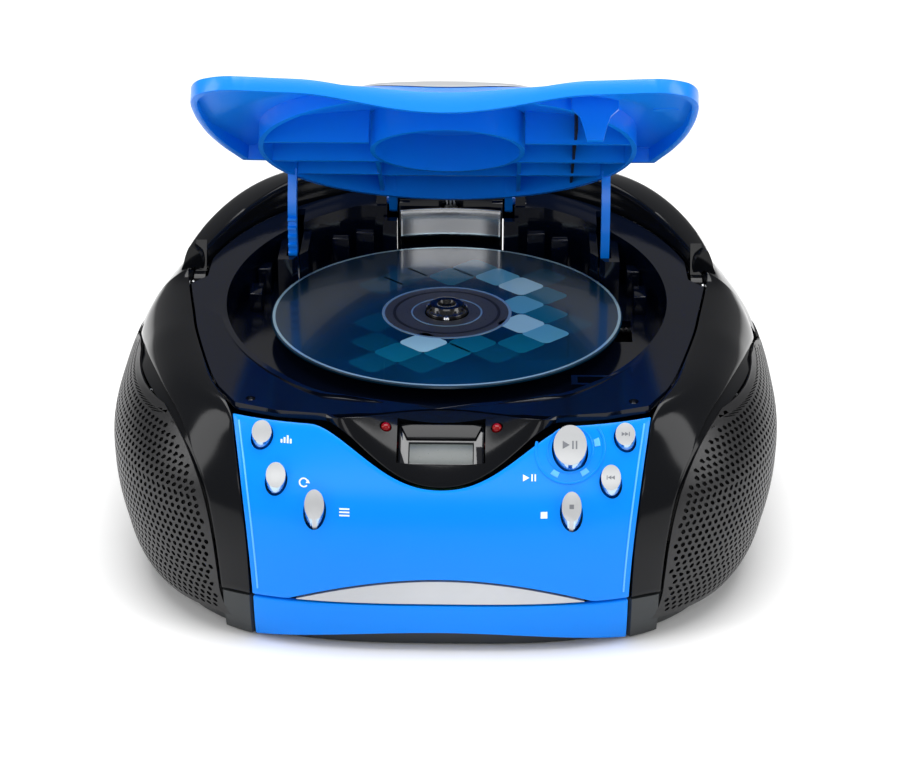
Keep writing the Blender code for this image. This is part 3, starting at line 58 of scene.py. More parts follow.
# height, half width, depth in front of BODY_Y, depth behind BODY_Y
BODY_PROFILE = (
    (0.0, 98.0, 99.0, 90.0),
    (10.0, 106.0, 100.8, 95.0),
    (22.0, 110.0, 101.5, 98.0),
    (38.0, 112.6, 101.0, 99.5),
    (52.0, 112.0, 97.5, 99.5),
    (66.0, 105.5, 90.0, 99.0),
    (80.0, 94.0, 80.0, 97.5),
    (90.0, 85.0, 72.0, 94.0),
)
WALL = 2.2
SEAM_H = 17.5        # height of the seam between the upper and the lower cabinet
GROUND_GAP = 0.8     # the cabinet's lower edge above the ground
FLOOR_Z = 3.2
FLOOR_T = 2.4

# ---- disc and well -------------------------------------------------------------------------
DISC_Z = 75.0
DISC_R = 60.0
WELL_R = 75.0
WELL_FRONT_Y = -64.5
WELL_REAR_Y = 67.5
WELL_FLOOR_Z = 69.0

# ---- deck ----------------------------------------------------------------------------------
DECK_SLOPE = math.tan(math.radians(5.3))
DECK_T = 2.4
LEDGE_R = 86.0       # the deck's rear edge, about the disc's axis

# ---- lid -----------------------------------------------------------------------------------
HINGE_Y = 72.0
HINGE_Z = 89.0
LID_OPEN = math.radians(38.8)
LID_T = 2.0
RIM_H = 4.6
RING_Z = 83.0        # lower edge of the lid's rings above the disc's axis, lid shut
RING_SLOPE = math.tan(math.radians(3.1))
ARM_X = 54.9
ARM_R = 38.5

# ---- front panel ---------------------------------------------------------------------------
PANEL_LOW_X = 60.0
PANEL_WIDEN = 6.5
PANEL_TOP_H = 72.8
SCOOP_X = 37.0       # half width of the scoop that holds the display
SCOOP_DEPTH = 17.0
TRIM_X = 48.5        # half width of the crescent trim
TRIM_RISE = 9.0
BUTTON_TILT = math.radians(68.0)   # the buttons' axes above the horizontal
# name, x, height where its axis meets the panel, radius
BUTTONS = (
    ("bass_button", -56.5, 68.3, 3.1),
    ("repeat_button", -51.7, 57.0, 3.1),
    ("program_button", -39.4, 49.0, 3.1),
    ("play_button", 40.6, 66.6, 5.2),
    ("next_button", 58.0, 68.3, 3.1),
    ("back_button", 53.5, 57.0, 3.1),
    ("stop_button", 41.2, 49.0, 3.1),
)

# ---- handle --------------------------------------------------------------------------------
HANDLE_Y = 17.0      # the handle's pivot axis
HANDLE_Z = 78.4



# ==== materials ===============================================================================

def links(tree, *pairs):
    for source, target in pairs:
        tree.links.new(source, target)


def surface(name, color, rough, metallic=0.0, coat=0.0, coat_rough=0.04, vary=0.08,
            patch=18.0, grain=1400.0, bump=0.04, rough_vary=0.25, shine=0.5):
    """A moulded or metal surface: patchy colour, uneven roughness and a fine grain."""
    mat = bpy.data.materials.new(name)
    mat.use_nodes = True
    tree = mat.node_tree
    shader = tree.nodes["Principled BSDF"]
    shader.inputs["Metallic"].default_value = metallic
    shader.inputs["Specular IOR Level"].default_value = shine
    shader.inputs["Coat Weight"].default_value = coat
    shader.inputs["Coat Roughness"].default_value = coat_rough
    place = tree.nodes.new("ShaderNodeTexCoord").outputs["Object"]
    broad = tree.nodes.new("ShaderNodeTexNoise")
    broad.inputs["Scale"].default_value = patch
    broad.inputs["Detail"].default_value = 3.0
    fine = tree.nodes.new("ShaderNodeTexNoise")
    fine.inputs["Scale"].default_value = grain
    fine.inputs["Detail"].default_value = 4.0
    ramp = tree.nodes.new("ShaderNodeValToRGB")
    ramp.color_ramp.elements[0].position = 0.3
    ramp.color_ramp.elements[0].color = (*[c * (1 - vary) for c in color], 1.0)
    ramp.color_ramp.elements[1].position = 0.7
    ramp.color_ramp.elements[1].color = (*[min(c * (1 + vary), 1.0) for c in color], 1.0)
    spread = tree.nodes.new("ShaderNodeMapRange")
    spread.inputs["To Min"].default_value = rough * (1 - rough_vary)
    spread.inputs["To Max"].default_value = rough * (1 + rough_vary)
    relief = tree.nodes.new("ShaderNodeBump")
    relief.inputs["Strength"].default_value = bump
    relief.inputs["Distance"].default_value = 0.0002
    links(tree, (place, broad.inputs["Vector"]), (place, fine.inputs["Vector"]),
          (broad.outputs["Fac"], ramp.inputs["Fac"]),
          (ramp.outputs["Color"], shader.inputs["Base Color"]),
          (fine.outputs["Fac"], spread.inputs["Value"]),
          (spread.outputs["Result"], shader.inputs["Roughness"]),
          (fine.outputs["Fac"], relief.inputs["Height"]),
          (relief.outputs["Normal"], shader.inputs["Normal"]))
    return mat


BLUE = surface("gloss_blue", (0.0, 0.235, 0.90), 0.24, bump=0.015, vary=0.03, shine=0.2)
# A lighter blue for the ridges along the panel's sides: a painted highlight for the light on their
# bevels.
PAINTED_HIGHLIGHT_BLUE = surface("painted_highlight_blue", (0.10, 0.48, 1.0), 0.3, vary=0.03)
LID_BLUE = surface("lid_blue", (0.0, 0.215, 0.88), 0.32, coat=0.15, coat_rough=0.1, bump=0.02,
                   vary=0.04, shine=0.4)
BLACK = surface("gloss_black", (0.003, 0.0034, 0.0045), 0.12, bump=0.01, shine=0.22)
DECK_INK = surface("deck_black", (0.0015, 0.0030, 0.009), 0.12, bump=0.01, shine=0.28)
GREY = surface("dark_grey", (0.030, 0.034, 0.036), 0.42, bump=0.12, shine=0.35)
MESH_BLACK = surface("grille_black", (0.006, 0.006, 0.007), 0.36, metallic=0.0, bump=0.08,
                     shine=0.45)
SILVER = surface("silver_white", (0.50, 0.51, 0.52), 0.34, metallic=0.35, coat=0.15, bump=0.004,
                 rough_vary=0.1)
# Metal for the keys' sides, tinted blue: the tint is a painted reflection of the blue panel round
# them.
KEY_SIDE_PAINTED_REFLECTION = surface("key_side_painted_reflection", (0.42, 0.56, 0.66), 0.12, metallic=1.0, bump=0.003)
CHROME = surface("bright_metal", (0.72, 0.74, 0.77), 0.14, metallic=1.0, grain=500.0, bump=0.04)
STEEL = surface("steel", (0.52, 0.53, 0.55), 0.28, metallic=1.0, grain=900.0, bump=0.08)
MATT_BLACK = surface("matt_black", (0.010, 0.010, 0.012), 0.5, bump=0.15, shine=0.3)
HUB_BLACK = surface("hub_black", (0.004, 0.004, 0.005), 0.18, coat=0.2, bump=0.02)
SMOKED = surface("smoked_window", (0.006, 0.007, 0.010), 0.06, coat=0.3, coat_rough=0.02)
LCD = surface("lcd_grey", (0.055, 0.068, 0.066), 0.3, vary=0.05)
RED = surface("led_red", (0.20, 0.002, 0.004), 0.12, shine=0.25)
RUBBER = surface("rubber", (0.02, 0.02, 0.02), 0.75, bump=0.3)
BOARD = surface("circuit_board", (0.02, 0.12, 0.05), 0.4, grain=300.0, bump=0.1)
PAPER = surface("speaker_paper", (0.02, 0.02, 0.02), 0.85, grain=700.0, bump=0.4)
LAMINATE = surface("iron_laminate", (0.22, 0.21, 0.19), 0.45, metallic=0.8, bump=0.1)
CELL_WRAP = surface("cell_wrap", (0.10, 0.11, 0.12), 0.35)
WHITE = surface("white_plastic", (0.70, 0.70, 0.66), 0.4)
PRINT = surface("white_print", (0.80, 0.88, 0.95), 0.4, vary=0.02)
ICON_GREY = surface("grey_print", (0.16, 0.17, 0.19), 0.4, vary=0.02)
PALE_BLUE = surface("pale_blue_print", (0.10, 0.45, 0.90), 0.35, vary=0.02)
INK_NAVY = surface("disc_navy", (0.001, 0.022, 0.048), 0.20, coat=0.25, shine=0.4, vary=0.5,
                   patch=14.0)
INK_DEEP = surface("disc_deep", (0.001, 0.050, 0.090), 0.20, coat=0.25, shine=0.4)
INK_TEAL = surface("disc_teal", (0.003, 0.115, 0.185), 0.20, coat=0.25, shine=0.4)
INK_SKY = surface("disc_sky", (0.10, 0.36, 0.50), 0.20, coat=0.25, shine=0.4)
INK_PALE = surface("disc_pale", (0.34, 0.60, 0.70), 0.20, coat=0.25, shine=0.4)
HUB_CLEAR = surface("disc_hub", (0.050, 0.052, 0.054), 0.30, coat=0.1, shine=0.3)
RIM = surface("disc_rim", (0.36, 0.56, 0.66), 0.15, metallic=0.5, coat=0.3)


# ==== mesh helpers ============================================================================

def add_object(name, verts, faces, mat, sharp_angle=35.0):
    """One mesh object from points in millimetres, with its faces turned outwards."""
    mesh = bpy.data.meshes.new(name)
    mesh.from_pydata([tuple(c * MM for c in v) for v in verts], [], faces)
    bm = bmesh.new()
    bm.from_mesh(mesh)
    bmesh.ops.recalc_face_normals(bm, faces=bm.faces)
    bm.to_mesh(mesh)
    bm.free()
    mesh.shade_smooth()
    mesh.set_sharp_from_angle(angle=math.radians(sharp_angle))
    mesh.materials.append(mat)
    obj = bpy.data.objects.new(name, mesh)
    bpy.context.scene.collection.objects.link(obj)
    return obj


def sheet(name, outer, inner, mat, wrap=False):
    """A closed shell between two grids of points; wrap joins each row's end to its start."""
    rows = len(outer)
    cols = len(outer[0])
    verts = [p for row in outer for p in row] + [p for row in inner for p in row]
    back = rows * cols
    faces = []
    for i in range(rows - 1):
        for j in range(cols if wrap else cols - 1):
            k = (j + 1) % cols
            a, b = i * cols + j, i * cols + k
            c, d = (i + 1) * cols + k, (i + 1) * cols + j
            faces.append((a, b, c, d))
            faces.append((back + d, back + c, back + b, back + a))
    border = []
    for j in range(cols if wrap else cols - 1):
        k = (j + 1) % cols
        border.append((j, k))
        border.append(((rows - 1) * cols + k, (rows - 1) * cols + j))
    if not wrap:
        for i in range(rows - 1):
            border.append(((i + 1) * cols, i * cols))
            border.append((i * cols + cols - 1, (i + 1) * cols + cols - 1))
    for a, b in border:
        faces.append((b, a, back + a, back + b))
    return add_object(name, verts, faces, mat)


def offset_grid(grid, distance):
    """The grid moved along its own normals; positive goes outwards from the cabinet."""
    pts = np.array(grid, float)
    across = np.gradient(pts, axis=1)
    along = np.gradient(pts, axis=0)
    normal = np.cross(across, along)
    normal /= np.linalg.norm(normal, axis=2, keepdims=True)
    if ((pts - np.array((0.0, 0.0, 40.0))) * normal).sum() < 0:
        normal = -normal
    return (pts + normal * distance).tolist()


def shell(name, grid, thickness, mat):
    return sheet(name, grid, offset_grid(grid, -thickness), mat)


def solid(name, low, high, mat):
    """A closed solid between two matching outlines of points."""
    count = len(low)
    faces = [tuple(range(count)), tuple(range(2 * count - 1, count - 1, -1))]
    faces += [(i, (i + 1) % count, count + (i + 1) % count, count + i) for i in range(count)]
    return add_object(name, [tuple(p) for p in [*low, *high]], faces, mat)


def prism(name, outline, low, high, mat):
    """An extruded plan outline; low and high are heights, or functions of (x, y)."""
    low_z = low if callable(low) else lambda x, y: low
    high_z = high if callable(high) else lambda x, y: high
    return solid(name, [(x, y, low_z(x, y)) for x, y in outline],
                 [(x, y, high_z(x, y)) for x, y in outline], mat)


def block(name, low, high, mat):
    outline = ((low[0], low[1]), (high[0], low[1]), (high[0], high[1]), (low[0], high[1]))
    return prism(name, outline, low[2], high[2], mat)


def side_block(name, side, xs, ys, zs, mat):
    """A block on one side of X = 0; xs, ys and zs are its ranges on the right."""
    low, high = sorted((side * xs[0], side * xs[1]))
    return block(name, (low, ys[0], zs[0]), (high, ys[1], zs[1]), mat)


def circle(radius, count, center=(0.0, 0.0)):
    return [(center[0] + radius * math.cos(2 * math.pi * i / count),
             center[1] + radius * math.sin(2 * math.pi * i / count)) for i in range(count)]


def aim(axis, origin):
    """The matrix that takes local +Z to axis and the local origin to origin."""
    turn = Vector((0, 0, 1)).rotation_difference(Vector(axis).normalized())
    return Matrix.Translation(Vector(origin)) @ turn.to_matrix().to_4x4()


def turned(name, profile, count, origin, axis, mat):
    """A body of revolution about axis; profile is a closed loop of (radius, height)."""
    place = aim(axis, origin)
    verts = []
    rings = []
    for radius, height in profile:
        if radius < 1e-6:
            rings.append([len(verts)])
            verts.append(place @ Vector((0, 0, height)))
            continue
        rings.append(list(range(len(verts), len(verts) + count)))
        verts += [place @ Vector((x, y, height)) for x, y in circle(radius, count)]
    faces = []
    for ring, after in zip(rings, rings[1:] + rings[:1]):
        for i in range(count):
            j = (i + 1) % count
            corners = [ring[i % len(ring)], ring[j % len(ring)],
                       after[j % len(after)], after[i % len(after)]]
            face = tuple(dict.fromkeys(corners))
            if len(face) > 2:
                faces.append(face)
    return add_object(name, [tuple(v) for v in verts], faces, mat)


def rod(name, start, end, radius, mat, count=16):
    length = (Vector(end) - Vector(start)).length
    profile = ((0, 0), (radius, 0), (radius, length), (0, length))
    return turned(name, profile, count, start, Vector(end) - Vector(start), mat)


def tube(name, points, radius, mat, sides):
    """A round wire through the given points, with flat ends."""
    pts = [Vector(p) for p in points]
    verts = []
    side = None
    for i, p in enumerate(pts):
        run = (pts[min(i + 1, len(pts) - 1)] - pts[max(i - 1, 0)]).normalized()
        side = (side or Vector((1.0, 0.2, 0.1))) - run * run.dot(side or Vector((1.0, 0.2, 0.1)))
        side.normalize()
        other = run.cross(side)
        for k in range(sides):
            a = 2 * math.pi * k / sides
            verts.append(tuple(p + (side * math.cos(a) + other * math.sin(a)) * radius))
    last = (len(pts) - 1) * sides
    faces = [tuple(range(sides)), tuple(range(last + sides - 1, last - 1, -1))]
    for i in range(len(pts) - 1):
        for k in range(sides):
            j = (k + 1) % sides
            faces.append((i * sides + k, i * sides + j, (i + 1) * sides + j, (i + 1) * sides + k))
    return add_object(name, verts, faces, mat)


def weld(mesh):
    """Closes the hairline slivers that a Boolean can leave."""
    bm = bmesh.new()
    bm.from_mesh(mesh)
    bmesh.ops.remove_doubles(bm, verts=bm.verts, dist=WELD)
    bmesh.ops.dissolve_degenerate(bm, edges=bm.edges, dist=WELD)
    bm.to_mesh(mesh)
    bm.free()


def apply_modifiers(obj):
    graph = bpy.context.evaluated_depsgraph_get()
    mesh = bpy.data.meshes.new_from_object(obj.evaluated_get(graph))
    obj.modifiers.clear()
    obj.data = mesh


def boolean(target, tools, operation, solver):
    """Cuts tools from target or joins them to it, and removes the tools."""
    for tool in tools:
        modifier = target.modifiers.new(operation, "BOOLEAN")
        modifier.operation = operation
        modifier.solver = solver
        modifier.object = tool
        apply_modifiers(target)
        weld(target.data)
        bpy.data.objects.remove(tool)
    return target


def cut(target, *tools, solver="EXACT"):
    return boolean(target, tools, "DIFFERENCE", solver)


def join(target, *tools, solver="EXACT"):
    return boolean(target, tools, "UNION", solver)


def move_to(obj, place):
    """Moves a piece made at the origin by a matrix whose distances are in millimetres."""
    turn, shift = place.to_3x3().to_4x4(), place.to_translation() * MM
    obj.data.transform(Matrix.Translation(shift) @ turn)


def mirrored(obj, name):
    """A copy of obj on the other side of X = 0."""
    mesh = obj.data.copy()
    mesh.transform(Matrix.Scale(-1, 4, (1, 0, 0)))
    mesh.flip_normals()
    copy = bpy.data.objects.new(name, mesh)
    bpy.context.scene.collection.objects.link(copy)
    return copy


def lerp(a, b, t):
    return a + (b - a) * t


def smooth(t):
    t = min(max(t, 0.0), 1.0)
    return t * t * (3.0 - 2.0 * t)


def hermite(start, start_slope, end, end_slope, u):
    """A cubic from start to end with the given slopes; u runs from 0 to 1."""
    return ((2 * u ** 3 - 3 * u ** 2 + 1) * start + (u ** 3 - 2 * u ** 2 + u) * start_slope
            + (-2 * u ** 3 + 3 * u ** 2) * end + (u ** 3 - u ** 2) * end_slope)


def spline(points, t):
    """A smooth curve through the points; t runs from 0 to 1."""
    pts = np.array(points, float)
    place = min(max(t, 0.0), 1.0) * (len(pts) - 1)
    i = min(int(place), len(pts) - 2)
    u = place - i
    before = pts[max(i - 1, 0)]
    after = pts[min(i + 2, len(pts) - 1)]
    m0 = (pts[i + 1] - before) / 2
    m1 = (after - pts[i]) / 2
    return hermite(pts[i], m0, pts[i + 1], m1, u)


# ==== shared surfaces =========================================================================

def profile_at(height):
    """Half width, front depth and rear depth of the cabinet at a height."""
    rows = np.array(BODY_PROFILE)
    heights = rows[:, 0]
    height = min(max(height, heights[0]), heights[-1])
    i = min(int(np.searchsorted(heights, height, side="right")) - 1, len(rows) - 2)
    slopes = np.gradient(rows[:, 1:], heights, axis=0)
    span = heights[i + 1] - heights[i]
    u = (height - heights[i]) / span
    return hermite(rows[i, 1:], span * slopes[i], rows[i + 1, 1:], span * slopes[i + 1], u)


def signed_power(value, power):
    return math.copysign(abs(value) ** power, value)


def body_point(angle, height, inset=0.0):
    """A point of the cabinet's surface; angle runs from +X towards the rear."""
    width, front, rear = profile_at(height)
    depth = rear if math.sin(angle) > 0 else front
    power = 2.0 / SQUARENESS
    return ((width - inset) * signed_power(math.cos(angle), power),
            BODY_Y + (depth - inset) * signed_power(math.sin(angle), power), height)


def front_point(x, height, inset=0.0):
    """The point of the cabinet's front surface at x and a height."""
    width, front, _ = profile_at(height)
    share = min(abs(x) / (width - inset), 1.0)
    y = BODY_Y - (front - inset) * (1.0 - share ** SQUARENESS) ** (1.0 / SQUARENESS)
    return (x, y, height)


def front_angle(x, height):
    """The plan angle, between -90 degrees and 0, at which the surface has this x."""
    width = profile_at(height)[0]
    return -math.acos(min(x / width, 1.0) ** (SQUARENESS / 2.0))


def rear_angle(y, height):
    """The plan angle, between 0 and 90 degrees, at which the surface has this y."""
    rear = profile_at(height)[2]
    return math.asin(min((y - BODY_Y) / rear, 1.0) ** (SQUARENESS / 2.0))


def deck_z(y):
    return HINGE_Z - (HINGE_Y - y) * DECK_SLOPE


def panel_edge(height):
    return PANEL_LOW_X + PANEL_WIDEN * (max(height, 0.0) / PANEL_TOP_H) ** 2.5


def scoop_h(x):
    """Height of the front panel's upper edge."""
    t = min(abs(x) / SCOOP_X, 1.0)
    return PANEL_TOP_H - SCOOP_DEPTH * (1.0 - t ** 2.2) ** 1.8


def trim_h(x):
    """Height of the crescent trim's upper edge."""
    t = min(abs(x) / TRIM_X, 1.0)
    return SEAM_H + TRIM_RISE * (1.0 - t ** 2)


def button_axis():
    return Vector((0.0, -math.cos(BUTTON_TILT), math.sin(BUTTON_TILT)))


# The caps lie between two rails, listed in pairs from the seam up and back:
# the inner rail follows the panel and the deck, the outer one the speaker grille.
INNER_RAIL = ((61.0, None, SEAM_H + GAP), (61.6, None, 35.7), (63.2, None, 51.5),
              (65.4, None, 64.8), (67.6, -73.6, 73.8), (75.2, -56.5, 77.2),
              (82.6, -29.0, 79.9), (85.6, -13.0, 81.4), (89.0, 7.0, 83.6), (89.4, 12.0, 86.4))
OUTER_RAIL = ((70.4, None, SEAM_H + GAP), (71.8, None, 35.7), (74.6, None, 50.5),
              (79.5, None, 61.0), (85.0, -65.5, 68.0), (91.5, -51.5, 71.6),
              (98.3, -31.0, 71.6), (102.3, -15.0, 69.5), (105.3, 0.0, 66.6), (106.6, 12.0, 62.0))


def rail_points(rail):
    """A rail's points, with y worked out where it lies on the cabinet's surface."""
    return [front_point(x, h) if y is None else (x, y, h) for x, y, h in rail]


# ==== cabinet, display and lid shapes =========================================================

def cap_grid(rows, cols):
    """The right cap's outer surface: a crowned strip between its two rails."""
    inner = rail_points(INNER_RAIL)
    outer = rail_points(OUTER_RAIL)
    grid = []
    for i in range(rows):
        t = i / (rows - 1)
        a = spline(inner, t)
        b = spline(outer, t)
        crown = 0.4 + 3.4 * smooth((t - 0.3) / 0.5)
        lift = np.array((0.55, -0.30 * (1 - t), 0.75)) * crown
        grid.append([tuple(a + (b - a) * c + lift * 4 * c * (1 - c))
                     for c in (j / (cols - 1) for j in range(cols))])
    return grid


GRILLE_LOW_H = 7.0
GRILLE_TOP_H = 69.8
GRILLE_REAR_Y = 60.0
GRILLE_STEP_H = 52.0     # above this the grille's rear border runs forward to the cap


def plan_angle(x, y, height):
    """The plan angle of body_point for a point near the cabinet's surface."""
    width, front, rear = profile_at(height)
    power = SQUARENESS / 2
    depth = rear if y > BODY_Y else front
    return math.atan2(signed_power((y - BODY_Y) / depth, power), signed_power(x / width, power))


def grille_limits(height):
    """Plan angles of the grille's front and rear borders at a height."""
    rail = [spline(rail_points(OUTER_RAIL), i / 60) for i in range(61)]
    heights = [p[2] for p in rail]
    angles = [plan_angle(*p) for p in rail]
    peak = heights.index(max(heights))
    h = height + 1.0
    front = float(np.interp(h, heights[:peak + 1], angles[:peak + 1])) + 0.012
    rear = rear_angle(GRILLE_REAR_Y, min(max(height, SEAM_H), GRILLE_STEP_H))
    if h > heights[-1]:
        rear = float(np.interp(h, heights[:peak - 1:-1], angles[:peak - 1:-1]))
    elif height > GRILLE_STEP_H:
        share = (height - GRILLE_STEP_H) / (heights[-1] - 1.0 - GRILLE_STEP_H)
        rear = lerp(rear, angles[-1], smooth(share))
    return front, rear


def panel_grid(rows, cols):
    """The front panel's outer surface between the seam and the scooped upper edge."""
    grid = []
    for i in range(rows):
        row = []
        for j in range(cols):
            c = 2 * j / (cols - 1) - 1
            x0 = c * PANEL_LOW_X
            low = trim_h(x0) + GAP
            height = lerp(low, scoop_h(x0), i / (rows - 1))
            row.append(front_point(c * panel_edge(height), height))
        grid.append(row)
    return grid


def button_base(x, height):
    return Vector(front_point(x, height))


def surface_normal(x, height):
    """The outward normal of the front surface, in the plane X = constant."""
    low = Vector(front_point(x, height - 1.0))
    high = Vector(front_point(x, height + 1.0))
    up = (high - low).normalized()
    return Vector((0.0, -up.z, up.y))


BEZEL_TOP_Y = -67.0
BEZEL_TOP_Z = 70.4
LCD_X = 10.2
WINDOW_X = 14.0


def bezel_top(x):
    """The bezel's upper edge, which runs along the front of the well."""
    s = smooth(abs(x) / SCOOP_X)
    edge = front_point(SCOOP_X, PANEL_TOP_H + 1.6)
    return np.array((x, lerp(BEZEL_TOP_Y, edge[1], s), lerp(BEZEL_TOP_Z, edge[2], s)))


def bezel_point(x, r, inset=0.0):
    """A point of the bezel: r is 0 at the panel's edge and 1 at the well."""
    low = np.array(front_point(x, scoop_h(x))) + np.array((0.0, WALL + 0.5, -0.2))
    high = bezel_top(x)
    crown = 10.0 * r * (1 - r) * max(high[1] - low[1], 0.0) / 28.0
    point = lerp(low, high, r) + np.array((0.0, -0.45, 0.89)) * (crown - inset)
    return tuple(point)


WINDOW_ROWS = (0.24, 0.80)


def window_frame_point(x, r, depth):
    """A point over the window, in the flat plane that the window lies in."""
    low = np.array(bezel_point(0.0, WINDOW_ROWS[0]))
    high = np.array(bezel_point(0.0, WINDOW_ROWS[1]))
    up = (high - low) / np.linalg.norm(high - low)
    out = np.array((0.0, -up[2], up[1]))
    point = lerp(low, high, r) + out * depth
    return (x, point[1], point[2])


def window_slab(name, half_x, r_low, r_high, depth_low, depth_high, mat):
    """A flat slab parallel to the display's window."""
    corners = ((-half_x, r_low), (half_x, r_low), (half_x, r_high), (-half_x, r_high))
    return window_plate(name, corners, depth_low, depth_high, mat)


LED_X = 17.6
LED_ROW = 0.72
LED_R = 1.5
STEM_PLANE = 68.0


def deck_top(x, y):
    """The deck's upper surface: a gentle slope, sunk in front of the disc for the lid's lip."""
    sink = deck_z(bezel_top(x)[1]) - bezel_top(x)[2] if abs(x) < SCOOP_X else 0.0
    return deck_z(y) - max(sink, 0.0) * smooth((-58.0 - y) / 6.0)


def deck_outline():
    """The deck's plan, from the left front corner round by the right, front edge first."""
    front = []
    for i in range(-30, 31):
        x = i / 30 * SCOOP_X
        front.append((x, bezel_top(x)[1] + GAP + 0.6 + 1.2 * smooth((abs(x) - 20.0) / 8.0)))
    side = [(52.0, front_point(52.0, 75.0)[1] + 0.8), (65.6, -73.0)]
    rail = rail_points(INNER_RAIL)
    for i in range(25):
        x, y, _ = spline(rail, lerp(0.52, 0.885, i / 24))
        side.append((x - 0.9, y))
    side += [(82.9, 12.0), (82.4, 24.6)]
    arc = []
    start = math.atan2(24.6, 82.4)
    for i in range(1, 41):
        angle = lerp(start, math.pi / 2, i / 40)
        arc.append((LEDGE_R * math.cos(angle), LEDGE_R * math.sin(angle)))
    right = side + arc
    left = [(-x, y) for x, y in reversed(right[:-1])]
    return front + right + left


def well_outline(radius, front_y, rear_y, count=120):
    return [(x, min(max(y, front_y), rear_y)) for x, y in circle(radius, count)]


BRACKET_X = 25.2
LUG_X = 21.0
ARM_SLOT_X = 2.3
BOX_X = 5.0
PIN_R = 1.5
CATCH_X = 48.0
CATCH_Y = -50.5
SPRING_X = -2.1


def well_box(side, xs, ys, top):
    return side_block("box", side, xs, ys, (WELL_FLOOR_Z - 1, top), DECK_INK)


# y, half width: from the front edge back along the wing, then in behind it along the well
LID_WING = ((-75.5, 62.0), (-75.0, 67.0), (-73.2, 72.4), (-69.0, 77.2), (-60.0, 80.2),
            (-45.0, 80.8), (-30.0, 80.2), (-16.0, 78.8), (0.0, 75.9), (12.0, 72.8), (19.0, 71.0))
LID_TAIL = ((19.4, 62.6), (26.0, 60.0), (34.0, 56.2), (42.0, 51.0), (50.0, 44.4), (57.0, 36.8),
            (62.0, 29.8), (66.0, 21.5), (68.6, 12.0))
LIP_DROP = 5.4
LIP_X = 46.0


def lid_low(x, y):
    """The rim's lower edge with the lid shut; the lip dips in the middle of the front."""
    t = min(abs(x) / LIP_X, 1.0)
    drop = LIP_DROP * (1 - t * t) ** 2 * smooth((-34.0 - y) / 34.0)
    return deck_z(y) + 1.8 - drop


def lid_top(x, y):
    t = min((x / 81.0) ** 2 + ((y + 3.0) / 73.0) ** 2, 1.0)
    return lid_low(x, y) + RIM_H + 9.5 * (1 - t) ** 0.9


def lid_front_bow(x, y):
    """The front edge runs back towards the middle."""
    return 6.3 * (1 - min(abs(x) / 68.0, 1.0) ** 2) * smooth((-30.0 - y) / 42.0)


def lid_stations(inset):
    """Rows (y, half width) of the lid from front to rear; inset gives the inner side's."""
    wing = [tuple(spline(LID_WING, i / 44)) for i in range(45)]
    tail = [tuple(spline(LID_TAIL, i / 26)) for i in range(27)]
    first, last = wing[0][0], wing[-1][0]
    rows = [(lerp(first + inset, last - inset, (y - first) / (last - first)), w - inset)
            for y, w in wing]
    return rows + [(y - inset, w - inset) for y, w in tail]


def lid_grid(inset, rim, cols):
    """One side of the lid's skin with its rim folded down; inset and rim move the inner side."""
    stations = lid_stations(inset)
    stations = [stations[0]] + stations + [stations[-1]]
    grid = []
    for i, (y, width) in enumerate(stations):
        row = []
        edge_row = i in (0, len(stations) - 1)
        for j in range(-1, cols + 1):
            t = 2 * min(max(j, 0), cols - 1) / (cols - 1) - 1
            x = t * width
            yy = y + lid_front_bow(x, y)
            edge = edge_row or j in (-1, cols)
            z = lid_low(x, yy) if edge else lid_top(x, yy) - rim
            row.append((x, yy, z))
        grid.append(row)
    return grid


def ring_low(x, y):
    return RING_Z + y * RING_SLOPE


def ribbon(name, path, thickness, low, high, closed=False):
    """A wall of even thickness along a plan path, between two height functions."""
    pts = [Vector((x, y, 0)) for x, y in path]
    count = len(pts)
    verts = []
    for i, p in enumerate(pts):
        before = pts[(i - 1) % count] if closed or i else p
        after = pts[(i + 1) % count] if closed or i < count - 1 else p
        run = (after - before).normalized()
        side = Vector((-run.y, run.x, 0)) * thickness / 2
        for q in (p + side, p - side):
            verts.append((q.x, q.y, low(q.x, q.y)))
            verts.append((q.x, q.y, high(q.x, q.y)))
    faces = []
    for i in range(count if closed else count - 1):
        a, b = 4 * i, 4 * ((i + 1) % count)
        faces.append((a, b, b + 1, a + 1))
        faces.append((a + 2, a + 3, b + 3, b + 2))
        faces.append((a + 1, b + 1, b + 3, a + 3))
        faces.append((a, a + 2, b + 2, b))
    if not closed:
        faces.append((0, 1, 3, 2))
        e = 4 * (count - 1)
        faces.append((e, e + 2, e + 3, e + 1))
    return add_object(name, verts, faces, BLUE)


def offset_height(surface, rise):
    return lambda x, y: surface(x, y) + rise


def skin_middle(x, y):
    return lid_top(x, y) - LID_T * 0.6


RING_R = 63.0
HUB_RING_R = 25.4
RIBS = (((26.2, -9.0), (62.0, -9.0)), ((22.0, 15.0), (60.6, 15.0)), ((24.4, 33.0), (53.0, 33.0)),
        ((24.4, 18.0), (24.4, 56.0)))
ARM_LOW = math.radians(48.0)
ARM_WIDTH = 5.4
ARM_T = 3.0
TOOTH_COUNT = 83     # teeth that a full circle of the arm's rack would have
TEETH_ABOVE = 3      # rack teeth above the hinge's level with the lid open
RACK_R = ARM_R + ARM_WIDTH / 2
TOOTH_TALL = 0.7


def arm_point(radius, angle):
    """A point of the arm's side view; angle runs down from the hinge's front horizontal."""
    return (HINGE_Y - radius * math.cos(angle), HINGE_Z - radius * math.sin(angle))


def side_plate(name, x, thickness, outline, mat):
    """A flat plate square to X, from its (y, z) outline."""
    return solid(name, [(x - thickness / 2, y, z) for y, z in outline],
                 [(x + thickness / 2, y, z) for y, z in outline], mat)


